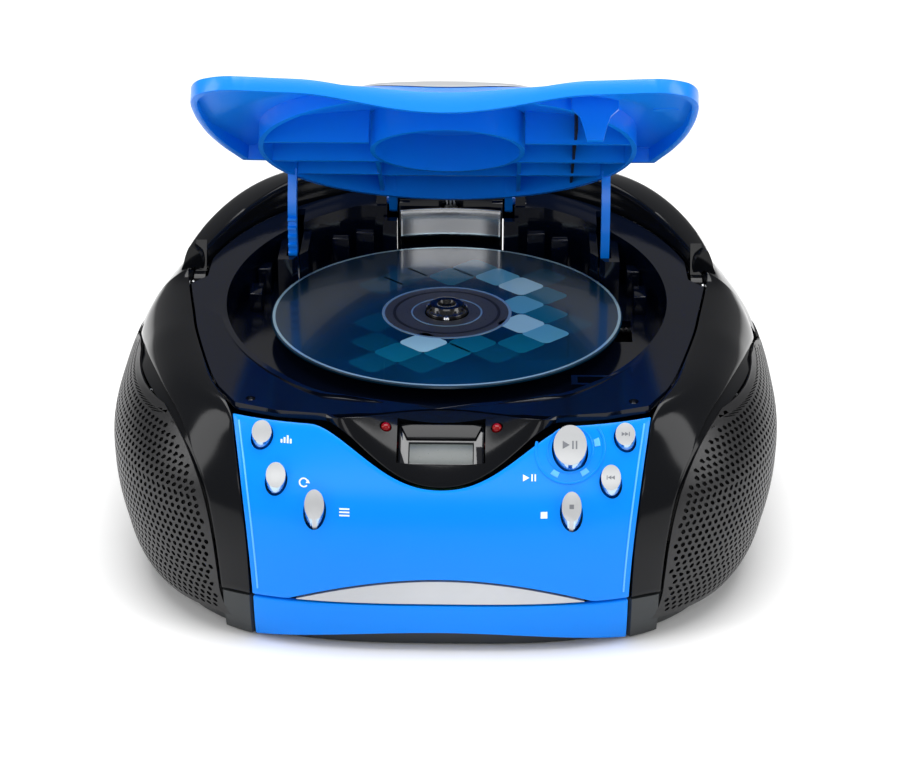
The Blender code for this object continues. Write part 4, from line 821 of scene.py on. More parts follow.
def lid_arm(x, toothed):
    """One of the lid's curved arms, with the lid shut; it runs down into its box."""
    start = math.radians(-8.0) + LID_OPEN
    end = ARM_LOW + LID_OPEN
    shift = LID_OPEN
    outline = []
    steps = 36
    for i in range(steps + 1):
        angle = lerp(start - math.radians(28), end, i / steps)
        outline.append(arm_point(ARM_R - ARM_WIDTH / 2, angle))
    pitch = 2 * math.pi / TOOTH_COUNT
    front = []
    if toothed:
        first = -TEETH_ABOVE
        while shift + (first + 0.5) * pitch < end - pitch * 0.5:
            middle = shift + (first + 0.5) * pitch
            front.append(arm_point(RACK_R - TOOTH_TALL, middle - pitch * 0.25))
            front.append(arm_point(RACK_R + TOOTH_TALL, middle - pitch * 0.11))
            front.append(arm_point(RACK_R + TOOTH_TALL, middle + pitch * 0.11))
            front.append(arm_point(RACK_R - TOOTH_TALL, middle + pitch * 0.25))
            first += 1
        front = [arm_point(RACK_R, start - math.radians(28)), arm_point(RACK_R, start - 0.24),
                 arm_point(RACK_R, start - 0.12),
                 arm_point(RACK_R, shift - TEETH_ABOVE * pitch - 0.01)] + front
        front.append(arm_point(RACK_R - TOOTH_TALL, end))
    else:
        for i in range(steps + 1):
            front.append(arm_point(RACK_R, lerp(start - math.radians(28), end, i / steps)))
    return side_plate("arm", x, ARM_T, outline + front[::-1], BLUE)


def shut_pieces():
    """Every piece of the lid's moulding, with the lid shut."""
    pieces = [ribbon("ring", circle(RING_R, 120), 1.6, ring_low, skin_middle, closed=True),
              ribbon("ring", circle(HUB_RING_R, 72), 1.5, ring_low, skin_middle, closed=True)]
    for side in (-1, 1):
        for step, ((x0, y0), (x1, y1)) in enumerate(RIBS):
            path = [(side * lerp(x0, x1, k / 4), lerp(y0, y1, k / 4)) for k in range(5)]
            low = offset_height(ring_low, 0.3 + 0.3 * step)
            pieces.append(ribbon("rib", path, 1.4, low, skin_middle))
        pieces.append(ribbon("gusset", [(side * 48.0, 31.5), (side * 54.0, 31.5)], 1.4,
                             lambda x, y: 92.0 + (54.9 - abs(x)) * 0.2, skin_middle))
    path = [(-24.4 + 48.8 * k / 6, 38.0) for k in range(7)]
    pieces.append(ribbon("rib", path, 1.4, offset_height(ring_low, 2.0), skin_middle))
    return pieces


def lug(side):
    """A hinge lug with the lid shut: an eye round the pin and a web to the lid."""
    eye = [(HINGE_Y + 4.2 * math.cos(a), HINGE_Z + 4.2 * math.sin(a))
           for a in (math.radians(lerp(-120.0, 80.0, i / 24)) for i in range(25))]
    outline = eye + [(66.0, 94.5), (58.6, 95.6), (58.6, 87.9), (66.0, 86.0)]
    return side_plate("lug", side * LUG_X, 2.8, outline, BLUE)


def open_lid(obj):
    """Turns a piece made with the lid shut to the open rest position."""
    hinge = Vector((0.0, HINGE_Y, HINGE_Z)) * MM
    turn = (Matrix.Translation(hinge) @ Matrix.Rotation(-LID_OPEN, 4, "X")
            @ Matrix.Translation(-hinge))
    obj.data.transform(turn)
    return obj


def catch_hook():
    """The T-shaped catch under the lid's front right corner."""
    outline = ((-7.5, 13.0), (-7.5, 8.0), (-5.0, 5.6), (-4.0, 3.0), (-2.6, -2.6), (2.6, -2.6),
               (4.0, 3.0), (5.0, 5.6), (7.5, 8.0), (7.5, 13.0))
    base = skin_middle(CATCH_X, CATCH_Y) - 13.0
    front, rear = ([(CATCH_X + u, y, min(base + v, skin_middle(CATCH_X + u, y)))
                    for u, v in outline] for y in (CATCH_Y - 0.7, CATCH_Y + 0.7))
    return solid("catch", front, rear, BLUE)


REAR_CASE_Y = 12.6
REAR_HEIGHTS = (SEAM_H + GAP, 24.0, 30.0, 37.0, 44.0, 50.0, 56.0, 62.0, 63.2, 67.0, 72.0, 76.5,
                80.5)
DIAL = (48.0, 88.0, 50.0)
DIAL_R = 12.0
SWITCH_X = -48.0
SWITCH_Z = 50.0
INLET = (-57.0, 26.0)


def rear_inset(angle, height):
    x, y, _ = body_point(angle, height)
    if y < 62.0 and height < 62.5:
        return 3.2
    return 0.0


def rear_angles(count=110):
    start = rear_angle(REAR_CASE_Y, 50.0)
    angles = [lerp(start, math.pi - start, i / count) for i in range(count + 1)]
    step = rear_angle(62.0, 50.0)
    steps = [step - 0.005, step + 0.005, math.pi - step - 0.005, math.pi - step + 0.005]
    kept = [a for a in angles if min(abs(a - s) for s in steps) > 0.012]
    return sorted(kept + steps)


def rear_case_grid(inset):
    """The rear cabinet's wall, and the ledge that the handle lies on."""
    angles = rear_angles()
    grid = []
    for height in REAR_HEIGHTS:
        row = []
        for a in angles:
            x, y, z = body_point(a, height, inset + rear_inset(a, height))
            row.append((x, max(y, REAR_CASE_Y + 0.01 * z), z))
        grid.append(row)
    rim = []
    for a in angles:
        x, y, _ = body_point(a, 80.5, inset)
        reach = math.hypot(x, y)
        scale = (LEDGE_R + GAP + 0.3) / reach
        yy = max(y * scale, REAR_CASE_Y + 2.0)
        rim.append((x * scale, yy, min(deck_z(yy) - 1.6, 87.0) - inset))
    middle = [tuple((np.array(p) * 0.45 + np.array(q) * 0.55) + np.array((0, 0, 0.6)))
              for p, q in zip(grid[-1], rim)]
    grid.append(middle)
    grid.append(rim)
    return grid


HANDLE_START = 21.0
HANDLE_RISE = 13.0


def handle_section(angle):
    """The handle's section at a plan angle: a blade that leans in over the ledge."""
    x, y, _ = body_point(angle, 80.5)
    reach = math.hypot(x, y)
    inner = LEDGE_R + GAP + 1.0
    start = rear_angle(HANDLE_START, 80.5)
    along = min(angle, math.pi - angle) - start
    rise = lerp(6.5, HANDLE_RISE, smooth(along / 0.9))
    base_out = 81.6
    yy = y * inner / reach
    base_in = max(min(deck_z(yy) - 1.2, 87.4), base_out) + 0.3
    middle = (reach * 0.55 + inner * 0.45)
    ring = ((reach - 0.2, base_out), (reach - 1.0, base_out + rise * 0.42),
            (lerp(reach, middle, 0.5), base_out + rise * 0.9), (middle, base_out + rise + 3.0),
            (inner + 1.2, base_in + rise * 0.85), (inner, base_in + rise * 0.45),
            (inner, base_in), (lerp(inner, reach, 0.45), lerp(base_in, base_out, 0.45) + 0.8))
    return [(x * r / reach, y * r / reach, z) for r, z in ring]


# ==== deck moulding ===========================================================================

def build_deck():
    """The top case: plate, well, arm boxes and hinge brackets in one moulding."""
    deck = prism("deck_shape", deck_outline(), lambda x, y: deck_top(x, y) - DECK_T, deck_top,
                 DECK_INK)
    tub = prism("tub", well_outline(WELL_R + 2, WELL_FRONT_Y - 1.6, WELL_REAR_Y + 2),
                WELL_FLOOR_Z - 2, lambda x, y: deck_top(x, y) - 0.5, DECK_INK)
    hollow = prism("hollow", well_outline(WELL_R, WELL_FRONT_Y, WELL_REAR_Y),
                   WELL_FLOOR_Z, 110.0, DECK_INK)
    join(deck, tub)
    cut(deck, hollow)
    additions = []
    for side in (-1, 1):
        additions.append(well_box(side, (ARM_X - BOX_X, ARM_X + BOX_X), (27.0, 62.0), 83.6))
        additions.append(well_box(side, (19.4, 24.6), (62.6, 66.2), 84.4))
        outline = ((68.5, 86.0), (77.0, 86.0), (75.0, 93.4), (69.6, 93.4))
        additions.append(side_plate("bracket", side * BRACKET_X, 3.6, outline, DECK_INK))
    additions.append(well_box(1, (CATCH_X - 6.4, CATCH_X + 6.4),
                              (CATCH_Y - 3.6, CATCH_Y + 3.6), 74.0))
    join(deck, *additions)
    cuts = [rod("clear", (0, 0, WELL_FLOOR_Z + 2.5), (0, 0, 120), DISC_R + 1.2, DECK_INK, 128)]
    for side in (-1, 1):
        x = side * ARM_X
        cuts.append(block("slot", (x - ARM_SLOT_X, 30.2, 40), (x + ARM_SLOT_X, 64, 120), DECK_INK))
        cuts.append(side_block("slot", side, (18.8, 23.2), (66.8, 78), (60, 120), DECK_INK))
        cuts.append(rod("hole", (side * 27.4, HINGE_Y, HINGE_Z), (side * 15, HINGE_Y, HINGE_Z),
                        PIN_R + 0.4, DECK_INK, 16))
        cuts.append(rod("hole", (side * 61, -70, 60), (side * 61, -70, 90), 1.6, DECK_INK, 28))
    cuts.append(rod("hole", (0, 0, 60), (0, 0, 90), 18.0, DECK_INK, 64))
    cuts.append(block("slot", (10, -9, 60), (63.4, 9, 90), DECK_INK))
    cuts.append(block("slot", (CATCH_X - 4.4, CATCH_Y - 2.4, WELL_FLOOR_Z),
                      (CATCH_X + 4.4, CATCH_Y + 2.4, 80), DECK_INK))
    cuts.append(block("slot", (SPRING_X - 1.2, 66.8, 79), (SPRING_X + 5.4, 80, 120), DECK_INK))
    cut(deck, *cuts)
    boss = rod("boss", (SPRING_X - 2.4, HINGE_Y, HINGE_Z), (SPRING_X + 6.6, HINGE_Y, HINGE_Z),
               1.9, DECK_INK, 12)
    return join(deck, boss)


CORNER_X = (60.8, 70.2)    # the bare corner between the skirt and the grille


def bottom_inset(angle):
    """How far the lower wall stands in: behind the skirt, flush at the corners, behind grilles."""
    x, y, _ = body_point(angle, SEAM_H)
    if y < 0 and abs(x) < CORNER_X[0]:
        return WALL + 0.8
    if y < 0 and abs(x) < CORNER_X[1]:
        return 0.0
    if y < 62.0:
        return 2.6
    return 0.0


def wall_angles(count=180):
    """Plan angles round the cabinet, closer together where the wall steps."""
    angles = [2 * math.pi * i / count for i in range(count)]
    steps = []
    for x in CORNER_X:
        a = front_angle(x, SEAM_H)
        steps += [a - 0.004, a + 0.004, -math.pi - a - 0.004, -math.pi - a + 0.004]
    a = rear_angle(62.0, SEAM_H)
    steps += [a - 0.004, a + 0.004, math.pi - a - 0.004, math.pi - a + 0.004]
    steps = [s % (2 * math.pi) for s in steps]
    kept = [a for a in angles if min(abs(a - s) for s in steps) > 0.01]
    return sorted(kept + steps)




# ==== placing pieces ==========================================================================

def soften(obj, width, segments=2, angle=40.0):
    """Rounds the sharp edges of a piece by a few tenths of a millimetre."""
    modifier = obj.modifiers.new("soften", "BEVEL")
    modifier.width = width * MM
    modifier.segments = segments
    modifier.limit_method = "ANGLE"
    modifier.angle_limit = math.radians(angle)
    apply_modifiers(obj)
    return crisp(obj, 50.0)


def crisp(obj, angle=35.0):
    """Smooth shading that keeps the piece's real edges, after a Boolean."""
    obj.data.shade_smooth()
    obj.data.set_sharp_from_angle(angle=math.radians(angle))
    return obj


BODY_OF = {name: body for body, names in frame["record"]["behaviour"]["bodies"].items()
           for name in names}


def place(obj, name, slot, *nodes, body=None, mat=None):
    """Names a piece, lets it ride on its body and hides the CAD nodes that it stands for."""
    obj.name = name
    obj.data.name = name
    if mat:
        obj.data.materials.clear()
        obj.data.materials.append(mat)
    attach(obj, body or BODY_OF[nodes[0]])
    if nodes:
        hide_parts(*nodes)
    return obj


def detail(obj, name, slot, body="root"):
    """A small piece that stands for no node of its own."""
    return place(obj, name, slot, body=body)


def merged(objs, name):
    """Several small closed pieces as one object."""
    bm = bmesh.new()
    mats = []
    for obj in objs:
        first = len(mats)
        mats += [m for m in obj.data.materials if m not in mats]
        index = mats.index(obj.data.materials[0])
        start = len(bm.faces)
        bm.from_mesh(obj.data)
        bm.faces.ensure_lookup_table()
        for face in bm.faces[start:]:
            face.material_index = index
    mesh = bpy.data.meshes.new(name)
    bm.to_mesh(mesh)
    bm.free()
    for mat in mats:
        mesh.materials.append(mat)
    for obj in objs:
        bpy.data.objects.remove(obj)
    result = bpy.data.objects.new(name, mesh)
    bpy.context.scene.collection.objects.link(result)
    return result


# ==== cabinet =================================================================================

def build_caps():
    right = soften(shell("cap", cap_grid(64, 15), WALL, BLACK), 0.5)
    left = mirrored(right, "cap")
    place(right, "right_cap_shell", "gloss_black", "right_cap")
    place(left, "left_cap_shell", "gloss_black", "left_cap")


def build_cap_returns():
    """The folded edge that runs from each cap down behind the speaker grille."""
    grid = []
    for i in range(12, 57):
        edge = np.array(spline(rail_points(OUTER_RAIL), i / 60))
        foot = np.array(body_point(plan_angle(*edge), edge[2] - 3.0, 1.1))
        top = edge + np.array((-0.9, 0.3, -1.1))
        grid.append([tuple(lerp(top, foot, k / 4)) for k in range(5)])
    right = shell("return", grid, 0.9, BLACK)
    left = mirrored(right, "return")
    detail(right, "right_cap_return", "gloss_black")
    detail(left, "left_cap_return", "gloss_black")


HOLE_PITCH = 2.62
HOLE_R = 0.84
ROW_SHARE = 0.866    # distance between rows of holes, as a share of their pitch
EDGE_MARGIN = 0.4    # solid metal between the outermost holes' cells and the border
MESH_T = 0.8
HEIGHT_STEP = 0.05   # step in which the profile's arc length is added up


def arc_heights(step):
    """Heights at equal steps along the grille's side profile."""
    count = int((GRILLE_TOP_H - GRILLE_LOW_H) / HEIGHT_STEP)
    heights = [GRILLE_LOW_H + HEIGHT_STEP * k for k in range(count)]
    rows = [heights[0]]
    run = 0.0
    width = profile_at(heights[0])[0]
    for height in heights[1:]:
        after = profile_at(height)[0]
        run += math.hypot(HEIGHT_STEP, after - width)
        width = after
        if run >= step:
            rows.append(height)
            run -= step
    return rows


class GrilleRow:
    """One level of the grille: the arc length from its middle, against the plan angle."""

    def __init__(self, height):
        self.height = height
        self.front, self.rear = grille_limits(height)
        self.angles = np.linspace(self.front, self.rear, 240)
        pts = np.array([body_point(a, height) for a in self.angles])
        steps = np.linalg.norm(np.diff(pts, axis=0), axis=1)
        self.run = np.concatenate(([0.0], np.cumsum(steps)))
        self.run -= np.interp(0.0, self.angles, self.run)

    def angle(self, run):
        return float(np.interp(run, self.run, self.angles))

    def span(self):
        return self.run[0], self.run[-1]


class GrilleSkin:
    """The right grille's outer skin, built cell by cell; neighbours share their points."""

    def __init__(self, step):
        self.step = step
        self.rows = {}
        self.index = {}
        self.verts = []
        self.faces = []

    def row(self, height):
        key = round(height, 4)
        if key not in self.rows:
            self.rows[key] = GrilleRow(height)
        return self.rows[key]

    def vertex(self, run, height):
        level = self.row(height)
        low, high = level.span()
        point = body_point(level.angle(min(max(run, low), high)), height)
        key = tuple(round(c, 3) for c in point)
        if key not in self.index:
            self.index[key] = len(self.verts)
            self.verts.append(point)
        return self.index[key]

    def add_cell(self, left, low_h, high_h, pierced):
        right = left + HOLE_PITCH
        half, mid_h = (left + right) / 2, (low_h + high_h) / 2
        border = [self.vertex(run, height) for run, height in (
            (left, low_h), (half, low_h), (right, low_h), (right, mid_h),
            (right, high_h), (half, high_h), (left, high_h), (left, mid_h))]
        if not pierced:
            ring = tuple(dict.fromkeys(border))
            if len(ring) > 2:
                self.faces.append(ring)
            return
        hole = []
        for n in range(8):
            a = math.radians(225 + 45 * n)
            height = lerp(low_h, high_h, 0.5 + math.sin(a) * HOLE_R / self.step)
            hole.append(self.vertex(half + HOLE_R * math.cos(a), height))
        for n in range(8):
            m = (n + 1) % 8
            self.faces.append((border[n], border[m], hole[m], hole[n]))


def grille_skin():
    """Staggered rows of cells, with a round hole in every cell that is clear of the edges."""
    skin = GrilleSkin(HOLE_PITCH * ROW_SHARE)
    levels = arc_heights(skin.step)
    for i, (low_h, high_h) in enumerate(zip(levels, levels[1:])):
        spans = (skin.row(low_h).span(), skin.row(high_h).span())
        first, last = min(s[0] for s in spans), max(s[1] for s in spans)
        clear_from = max(s[0] for s in spans) + EDGE_MARGIN
        clear_to = min(s[1] for s in spans) - EDGE_MARGIN
        shift = HOLE_PITCH / 2 * (i % 2)
        for k in range(math.floor(first / HOLE_PITCH) - 1, math.ceil(last / HOLE_PITCH) + 1):
            left = k * HOLE_PITCH + shift
            right = left + HOLE_PITCH
            if right < first or left > last:
                continue
            pierced = clear_from < left and right < clear_to and 0 < i < len(levels) - 2
            skin.add_cell(left, low_h, high_h, pierced)
    return skin


def build_grilles():
    skin = grille_skin()
    grille = add_object("grille", skin.verts, skin.faces, MESH_BLACK, sharp_angle=60.0)
    middle = Vector((0, 0, 40 * MM))
    out = sum((p.normal.dot(p.center - middle) * p.area for p in grille.data.polygons), 0.0)
    if out < 0:
        grille.data.flip_normals()
    modifier = grille.modifiers.new("thickness", "SOLIDIFY")
    modifier.thickness = MESH_T * MM
    modifier.offset = -1.0
    apply_modifiers(grille)
    crisp(grille, 55.0)
    left = mirrored(grille, "grille")
    place(grille, "right_grille_mesh", "grille_black", "right_grille")
    place(left, "left_grille_mesh", "grille_black", "left_grille")


def build_front_panel():
    panel = soften(shell("panel", panel_grid(26, 71), WALL, BLUE), 0.5)
    axis = button_axis()
    holes = []
    for name, x, height, radius in BUTTONS:
        base = button_base(x, height)
        holes.append(rod("hole", base - axis * 9, base + axis * 9, radius + 0.55, BLUE, 48))
    cut(panel, *holes)
    place(crisp(panel), "front_panel_shell", "gloss_blue", "front_panel")


def on_panel(x, height, u, v, lift):
    """A point at (u right, v up) from a place on the front panel, raised off its surface."""
    normal = surface_normal(x, height)
    rise = normal.y * -1.0
    point = Vector(front_point(x + u, height + v * rise))
    return point + surface_normal(x + u, height + v * rise) * lift


def panel_shape(name, x, height, outline, mat, lift=0.12, sink=0.25):
    """A flat printed or moulded shape lying on the front panel."""
    return solid(name, [on_panel(x, height, u, v, -sink) for u, v in outline],
                 [on_panel(x, height, u, v, lift) for u, v in outline], mat)


def panel_ring(name, x, height, inner, outer, lift, mat, start=0.0, sweep=360.0, count=72):
    """A raised ring, or part of one, that follows the front panel round a key."""
    rings = []
    whole = sweep >= 360.0
    steps = count if whole else count + 1
    for radius, rise in ((inner, -0.3), (inner, lift * 0.6), (inner + 0.15, lift),
                         (outer - 0.15, lift), (outer, lift * 0.6), (outer, -0.3)):
        ring = []
        for k in range(steps):
            a = math.radians(start + sweep * k / count)
            ring.append(tuple(on_panel(x, height, radius * math.cos(a), radius * math.sin(a),
                                       rise)))
        rings.append(ring)
    verts = [p for ring in rings for p in ring]
    faces = []
    for i in range(6):
        j = (i + 1) % 6
        for k in range(steps if whole else steps - 1):
            m = (k + 1) % steps
            faces.append((i * steps + k, i * steps + m, j * steps + m, j * steps + k))
    if not whole:
        faces.append(tuple(i * steps for i in range(6)))
        faces.append(tuple(i * steps + steps - 1 for i in range(5, -1, -1)))
    return add_object(name, verts, faces, mat)


def clear_arc(x, height, radius):
    """The longest run of angles at which a ring of this radius lies on the panel."""
    rise = -surface_normal(x, height).y
    clear = []
    for degree in range(-180, 540, 2):
        a = math.radians(degree)
        level = height + radius * math.sin(a) * rise
        clear.append(level < scoop_h(x + radius * math.cos(a)) - 0.5)
    if all(clear):
        return 0.0, 360.0
    best = (0, 0)
    first = None
    for k, fine in enumerate(clear + [False]):
        if fine and first is None:
            first = k
        if not fine and first is not None:
            best = max(best, (k - 1 - first, first))
            first = None
    return -180.0 + 2 * best[1], min(2.0 * best[0], 358.0)


def dish_ring(x, height, inner, outer, lift):
    start, sweep = clear_arc(x, height, outer)
    return panel_ring("dish", x, height, inner, outer, lift, BLUE, start=start, sweep=sweep)


def build_panel_details():
    places = {name.split("_")[0]: (x, height, radius) for name, x, height, radius in BUTTONS}
    x, height, radius = places["play"]
    rings = [dish_ring(x, height, 10.4, 11.2, 0.22), dish_ring(x, height, 6.9, 7.5, 0.22)]
    detail(merged(rings, "dish"), "play_key_dish", "gloss_blue")
    marks = [panel_ring("mark", x, height, 7.8, 9.6, 0.12, PALE_BLUE, start=a - 8, sweep=16,
                        count=8) for a in (-122.0, -58.0, 12.0)]
    detail(merged(marks, "marks"), "play_key_marks", "silver_plastic")
    # The ridges along the panel's sides take the lighter blue: a painted highlight for the light
    # caught on their bevels.
    lines = []
    for side in (-1, 1):
        path = []
        for k in range(41):
            h = lerp(SEAM_H + 3.0, PANEL_TOP_H - 1.4, k / 40)
            path.append(front_point(side * (panel_edge(h) - 2.0), h))
        lines.append(tube("line", path, 0.3, PAINTED_HIGHLIGHT_BLUE, 10))
    detail(merged(lines, "lines"), "panel_edge_highlight_lines", "gloss_blue")


TRIANGLE = ((-1.0, -1.15), (1.0, 0.0), (-1.0, 1.15))


def shifted(outline, du, dv=0.0, scale=1.0):
    return [(u * scale + du, v * scale + dv) for u, v in outline]


def bar(u, half, width=0.45):
    return [(u - width / 2, -half), (u + width / 2, -half), (u + width / 2, half),
            (u - width / 2, half)]


def wide_bar(v, half, width=0.45):
    return [(-half, v - width / 2), (half, v - width / 2), (half, v + width / 2),
            (-half, v + width / 2)]


def arc_band(inner, outer, start, sweep, count=16):
    angles = [math.radians(start + sweep * k / count) for k in range(count + 1)]
    out = [(outer * math.cos(a), outer * math.sin(a)) for a in angles]
    back = [(inner * math.cos(a), inner * math.sin(a)) for a in reversed(angles)]
    return out + back


def icon(kind):
    """Outlines of a plain control symbol, about 3 mm across."""
    if kind == "play":
        return [shifted(TRIANGLE, -1.1), bar(0.75, 1.15), bar(1.75, 1.15)]
    if kind == "next":
        return [shifted(TRIANGLE, -0.9, scale=0.85), shifted(TRIANGLE, 0.7, scale=0.85),
                bar(1.85, 1.0, 0.4)]
    if kind == "back":
        flip = [(-u, v) for u, v in reversed(TRIANGLE)]
        return [shifted(flip, 0.9, scale=0.85), shifted(flip, -0.7, scale=0.85),
                bar(-1.85, 1.0, 0.4)]
    if kind == "stop":
        return [[(-1.05, -1.05), (1.05, -1.05), (1.05, 1.05), (-1.05, 1.05)]]
    if kind == "repeat":
        head = [(1.75, -0.1), (0.55, -0.1), (1.15, 0.95)]
        return [arc_band(0.95, 1.35, 20.0, 300.0), head]
    if kind == "program":
        return [wide_bar(v, 1.4, 0.42) for v in (-0.9, 0.0, 0.9)]
    return [shifted(bar(0.0, half, 0.5), u, half - 1.2) for u, half in
            ((-1.3, 0.5), (-0.45, 0.8), (0.4, 1.1), (1.25, 0.65))]


# where a key's printed symbol stands beside it, and its scale
ICON_AT = {"play": (-12.6, -8.6, 1.0), "stop": (-8.6, -0.4, 1.0), "bass": (7.8, 0.0, 1.15),
           "repeat": (8.8, 0.0, 1.15), "program": (9.4, 0.0, 1.15)}


KEY_PROUD = 1.9      # how far a key's cap stands out of the panel
KEY_RIM = 0.45       # width of the bevel round a key's face


KEYS_WITH_ICONS = ("play", "next", "back", "stop")
ICON_REACH = 4.6     # radius of a key on which an icon has its drawn size


def key_marks(name, center, normal, size):
    """A key's icon, sunk a little into its face."""
    across = Vector((size, 0.0, 0.0))
    up = normal.cross(across)
    marks = []
    for outline in icon(name):
        flat = [center + across * u + up * v for u, v in outline]
        marks.append(solid("icon", [p - normal * 0.15 for p in flat],
                           [p + normal * 0.05 for p in flat], ICON_GREY))
    return marks


def build_buttons():
    axis = button_axis()
    for node, x, height, radius in BUTTONS:
        name = node.split("_")[0]
        base = button_base(x, height)
        bottom = STEM_PLANE - base.dot(axis)
        profile = ((0, bottom), (1.5, bottom), (1.5, -10.4), (radius, -8.8), (radius, 14.0),
                   (0, 14.0))
        key = turned("key", profile, 56, base, axis, SILVER)
        ears = block("ears", (-radius - 1.3, -1.1, -8.6), (radius + 1.3, 1.1, -7.2), SILVER)
        move_to(ears, aim(axis, base))
        join(key, ears)
        normal = surface_normal(x, height)
        top = block("top", (-15, -15, 0), (15, 15, 20), SILVER)
        face_at = base + axis * (KEY_PROUD / axis.dot(normal))
        move_to(top, aim(normal, face_at))
        cut(key, top)
        soften(key, KEY_RIM, 3, 45.0)
        # The key's side faces take the blue-tinted metal: real metal, with a painted reflection of
        # the blue panel.
        key.data.materials.append(KEY_SIDE_PAINTED_REFLECTION)
        for face in key.data.polygons:
            if face.normal.dot(normal) < 0.75:
                face.material_index = 1
        place(key, name + "_key_cap", "silver_plastic", node)
        if name in KEYS_WITH_ICONS:
            marks = key_marks(name, face_at, normal, radius / ICON_REACH)
            detail(merged(marks, "icon"), name + "_key_icon", "dark_grey", BODY_OF[node])
        if name in ICON_AT:
            du, dv, scale = ICON_AT[name]
            prints = [panel_shape("print", x, height, shifted(o, du, dv, scale), PRINT)
                      for o in icon(name)]
            detail(merged(prints, "print"), name + "_panel_icon", "silver_plastic")


def build_skirt_and_trim():
    rows, cols = 12, 61
    grid = []
    for i in range(rows):
        row = []
        for j in range(cols):
            c = 2 * j / (cols - 1) - 1
            low = GROUND_GAP + 6.0 * (1 - c * c)
            height = lerp(low, SEAM_H - GAP, i / (rows - 1))
            row.append(front_point(c * PANEL_LOW_X, height))
        grid.append(row)
    skirt = soften(shell("skirt", grid, WALL, BLUE), 0.5)
    place(skirt, "lower_skirt_shell", "gloss_blue", "lower_skirt")
    rows, cols = 9, 81
    grid = []
    for i in range(rows):
        row = []
        for j in range(cols):
            x = (2 * j / (cols - 1) - 1) * (TRIM_X - 2.6)
            row.append(front_point(x, lerp(SEAM_H + GAP, trim_h(x) - GAP, i / (rows - 1)), 0.5))
        grid.append(row)
    trim = shell("trim", grid, 1.6, SILVER)
    place(trim, "silver_crescent", "silver_plastic", "silver_trim")


BEZEL_REACH = 36.2   # half width of the bezel's visible surface


def window_plate(name, corners, low, high, mat):
    """A plate over the window; corners are (x, r) and low and high are depths."""
    return solid(name, [window_frame_point(x, r, low) for x, r in corners],
                 [window_frame_point(x, r, high) for x, r in corners], mat)


def build_display():
    grid = [[bezel_point((2 * j / 72 - 1) * BEZEL_REACH, i / 18) for j in range(73)]
            for i in range(19)]
    bezel = soften(shell("bezel", grid, 1.6, BLACK), 0.35)
    opening = window_slab("opening", WINDOW_X, 0.0, 1.0, -8.0, 8.0, BLACK)
    leds = []
    holes = [opening]
    lean = Vector((0, -0.5, 0.87))
    for side in (-1, 1):
        base = Vector(bezel_point(side * LED_X, LED_ROW))
        holes.append(rod("hole", base - lean * 6, base + lean * 6, LED_R + 0.4, BLACK, 36))
        dome = [(LED_R * math.cos(math.radians(a)), 1.0 * math.sin(math.radians(a)))
                for a in range(0, 91, 15)]
        profile = [(0, -10.8), (LED_R, -10.8)] + dome[:-1] + [(0, 1.0)]
        leds.append(turned("led", profile, 32, base, lean, RED))
    cut(bezel, *holes)
    place(crisp(bezel), "display_bezel_shell", "gloss_black", "display_bezel")
    ends = [Vector(bezel_point(side * LED_X, LED_ROW)) - lean * 10.4 for side in (-1, 1)]
    strip = rod("strip", ends[0], ends[1], 1.1, RED, 16)
    join(strip, *leds)
    place(crisp(strip), "indicator_lamps", "led_red", "indicator_leds")
    frame_plate = window_slab("window", WINDOW_X - GAP, 0.03, 0.97, -1.9, -0.7, SMOKED)
    cut(frame_plate, window_slab("hole", LCD_X, 0.07, 0.56, -5.0, 5.0, SMOKED))
    soften(frame_plate, 0.25)
    place(frame_plate, "display_window_frame", "smoked_window", "display_window")
    glass = window_slab("lcd", LCD_X - 0.1, 0.075, 0.555, -2.3, -1.25, LCD)
    soften(glass, 0.12)
    backing = window_slab("lcd", LCD_X + 2.0, 0.05, 0.74, -4.6, -2.4, LCD)
    place(merged([glass, backing], "lcd"), "lcd_glass", "lcd_grey", "lcd_panel")
    plate = window_plate("plate", ((-11.0, 0.62), (11.0, 0.62), (13.4, 0.96), (-13.4, 0.96)),
                         -1.2, 0.3, BLACK)
    detail(soften(plate, 0.4, 3), "display_upper_plate", "gloss_black")


# ==== deck and well ===========================================================================

# x, y, half width, half depth and top of the blocks at the well's rear wall
WELL_BOSSES = ((31.0, 61.5, 3.2, 1.8, 81.0), (39.6, 57.0, 3.0, 1.8, 80.4),
               (65.0, 33.8, 2.4, 3.4, 78.5), (66.8, 19.0, 2.2, 5.0, 76.0))


def build_deck_pieces():
    deck = build_deck()
    place(crisp(deck, 30.0), "deck_shell", "deck_black", "deck")
    outer = []
    inner = []
    for z in (74.6, 79.0, 84.0, 88.2):
        angles = [math.radians(lerp(74.0, 106.0, i / 40)) for i in range(41)]
        outer.append([(65.6 * math.cos(a), 65.6 * math.sin(a), z) for a in angles])
        inner.append([(66.6 * math.cos(a), 66.6 * math.sin(a), z) for a in angles])
    plate = sheet("plate", outer, inner, CHROME)
    place(soften(plate, 0.2), "well_polished_plate", "bright_metal", "well_backplate")
    lining = []
    for side in (-1, 1):
        for x, y, half_x, half_y, top in WELL_BOSSES:
            lining.append(soften(block("boss", (side * x - half_x, y - half_y, WELL_FLOOR_Z - 0.5),
                                       (side * x + half_x, y + half_y, top), DECK_INK), 0.4))
    detail(merged(lining, "lining"), "well_bosses", "deck_black")
    screws = []
    for side in (-1, 1):
        at = (side * 61.0, -70.0)
        top = deck_top(*at)
        screws.append(turned("screw", ((0, -3.2), (1.45, -3.2), (1.45, -1.6), (0.9, -1.1),
                                       (0.9, -1.9), (0, -1.9)), 24, (at[0], at[1], top),
                             (0, 0, 1), STEEL))
    detail(merged(screws, "screws"), "deck_screws", "steel")


# ==== lid =====================================================================================

